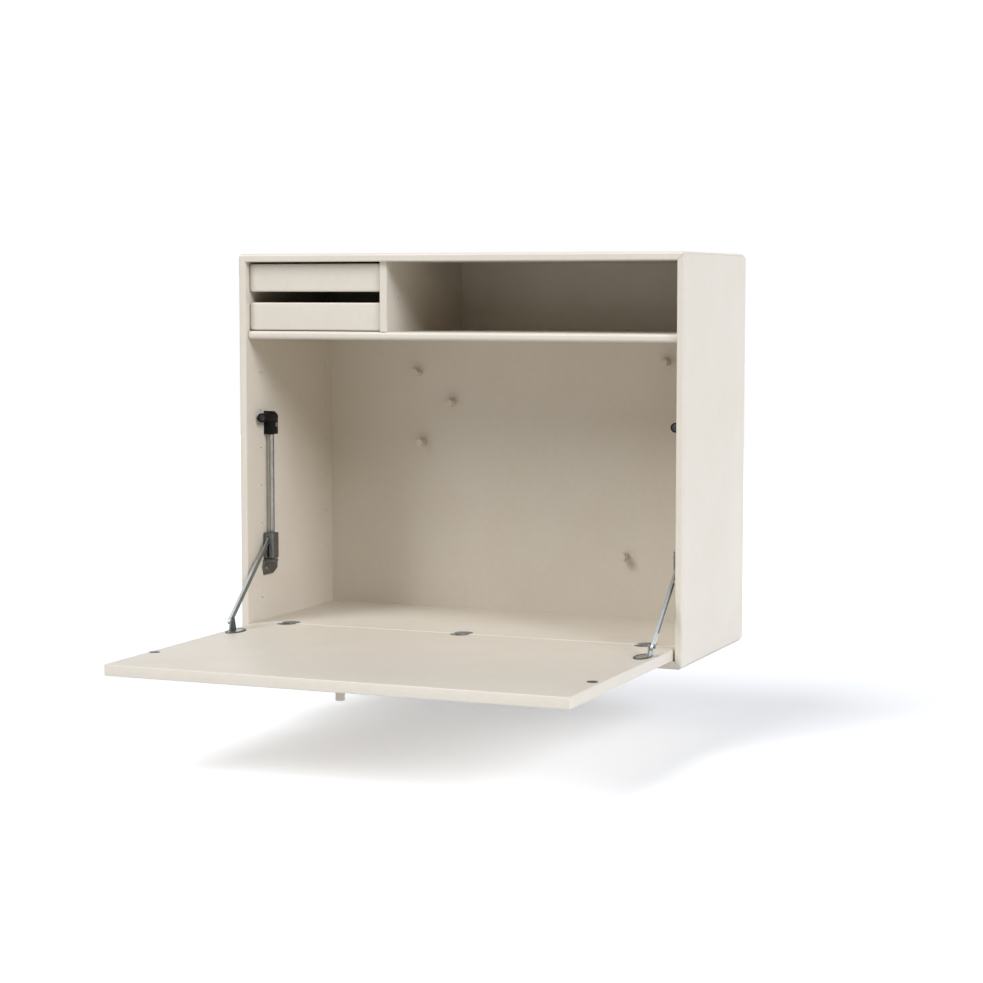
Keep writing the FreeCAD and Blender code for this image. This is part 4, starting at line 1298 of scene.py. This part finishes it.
    def magnets(self) -> None:
        """Ground magnet discs in the heads' tubes."""
        low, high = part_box("stay_magnets")
        radius = (high.z - low.z) / 2.0
        height = (low.z + high.z) / 2.0
        for side, x in both_sides(low, high, radius):
            name = "magnet_" + side.name.lower()
            piece = bar(name, Vector((x, high.y, height)), Vector((x, low.y, height)), radius, 56)
            ease(piece, 0.3 * MM, 2)
            coat(piece, TurnedFace(name + "_face", (x, low.y, height), "Y", colour="45444B",
                                   shade="38373E", roughness=0.42).build())
            place(piece, "cabinet", "magnet", ["stay_magnets"])


# ---------------------------------------------------------------- studio


@dataclass(frozen=True)
class SoftLamp:
    """One large soft lamp, far off.

    Azimuth 0 stands straight in front of the desk, and a positive one to its right, in degrees.
    Spread is how wide the lamp looks, in degrees. A lamp without glints lights a surface but
    isn't mirrored in it, so that it can't bleach the lacquer at a flat angle.
    """

    name: str
    azimuth: float
    elevation: float
    strength: float
    spread: float = 30.0
    tint: tuple[float, float, float] = (0.965, 0.99, 1.05)
    glints: bool = True
    distance: float = 4.0

    def build(self) -> None:
        """Hang the lamp."""
        turn, rise = math.radians(self.azimuth), math.radians(self.elevation)
        towards = Vector((math.cos(rise) * math.sin(turn), -math.cos(rise) * math.cos(turn),
                          math.sin(rise)))
        data = bpy.data.lights.new(self.name, "SUN")
        data.energy = self.strength
        data.angle = math.radians(self.spread)
        data.color = self.tint
        lamp = bpy.data.objects.new(self.name, data)
        lamp.visible_glossy = self.glints
        lamp.matrix_world = (Matrix.Translation(self.distance * towards)
                             @ towards.to_track_quat("Z", "Y").to_matrix().to_4x4())
        bpy.context.scene.collection.objects.link(lamp)


@dataclass
class Studio:
    """Pale floor, soft light and the camera."""

    floor_level: float = -0.420
    floor_width: float = 12.0
    eye: tuple[float, float, float] = (1.3233, -3.3652, 0.2375)
    right: tuple[float, float, float] = (0.92471, 0.38067, 0.00025)
    forward: tuple[float, float, float] = (-0.37923, 0.92127, -0.08629)
    lens: float = 85.11
    sensor: float = 36.0
    dome: float = 0.07
    lamps: tuple[SoftLamp, ...] = (
        SoftLamp("front_lamp", -33.0, 31.0, 0.99, 22.0),
        SoftLamp("side_lamp", 64.0, 28.0, 1.70, 24.0, (0.94, 0.985, 1.09), glints=False),
        SoftLamp("high_lamp", -30.0, 56.0, 1.50),
        SoftLamp("low_side_lamp", 94.0, 12.0, 0.95, 30.0, (0.93, 0.985, 1.10), glints=False),
    )

    def build(self) -> None:
        """Set the floor, the light and the camera."""
        self.floor()
        self.world()
        for lamp in self.lamps:
            lamp.build()
        self.camera()

    def floor(self) -> None:
        """A wide plain floor under the cabinet."""
        clear_selection()
        bpy.ops.mesh.primitive_plane_add(size=self.floor_width,
                                         location=(0.0, 0.0, self.floor_level))
        piece = settle("floor")
        coat(piece, PaleFloor().build())

    def world(self) -> None:
        """White dome: plain for what the eye and the gloss see, level for what lights the desk."""
        world = bpy.data.worlds.new("white_dome")
        bpy.context.scene.world = world
        world.use_nodes = True
        tree = world.node_tree
        tree.nodes.clear()
        light, white = (add_node(tree, "ShaderNodeBackground", {},
                                 {"Color": (1, 1, 1, 1), "Strength": strength}).outputs[0]
                        for strength in (self.dome, 1.0))
        mix = add_node(tree, "ShaderNodeMixShader", {},
                       {0: shown_to_the_eye(tree), 1: light, 2: white})
        add_node(tree, "ShaderNodeOutputWorld", {}, {"Surface": mix.outputs[0]})
        bpy.context.scene.view_settings.view_transform = "Standard"

    def camera(self) -> None:
        """The camera, at its own place and turn."""
        right = Vector(self.right).normalized()
        forward = Vector(self.forward)
        forward = (forward - right * forward.dot(right)).normalized()
        up = right.cross(forward)
        data = bpy.data.cameras.new("desk_camera")
        data.lens = self.lens
        data.sensor_width = self.sensor
        camera = bpy.data.objects.new("desk_camera", data)
        turn = Matrix((right, up, -forward)).transposed().to_4x4()
        camera.matrix_world = Matrix.Translation(Vector(self.eye)) @ turn
        bpy.context.scene.collection.objects.link(camera)
        bpy.context.scene.camera = camera


def main() -> None:
    """Build the studio, then each sub-assembly in order."""
    logging.basicConfig(level=logging.INFO, format="%(name)s: %(message)s")
    Studio().build()
    finishes = Finishes()
    for assembly in (Carcass(finishes), Pegs(finishes), Trays(finishes), Leaf(finishes),
                     LeafHinges(finishes), Stays(finishes)):
        log.info("building %s", type(assembly).__name__)
        assembly.build()


if __name__ == "__main__":
    main()
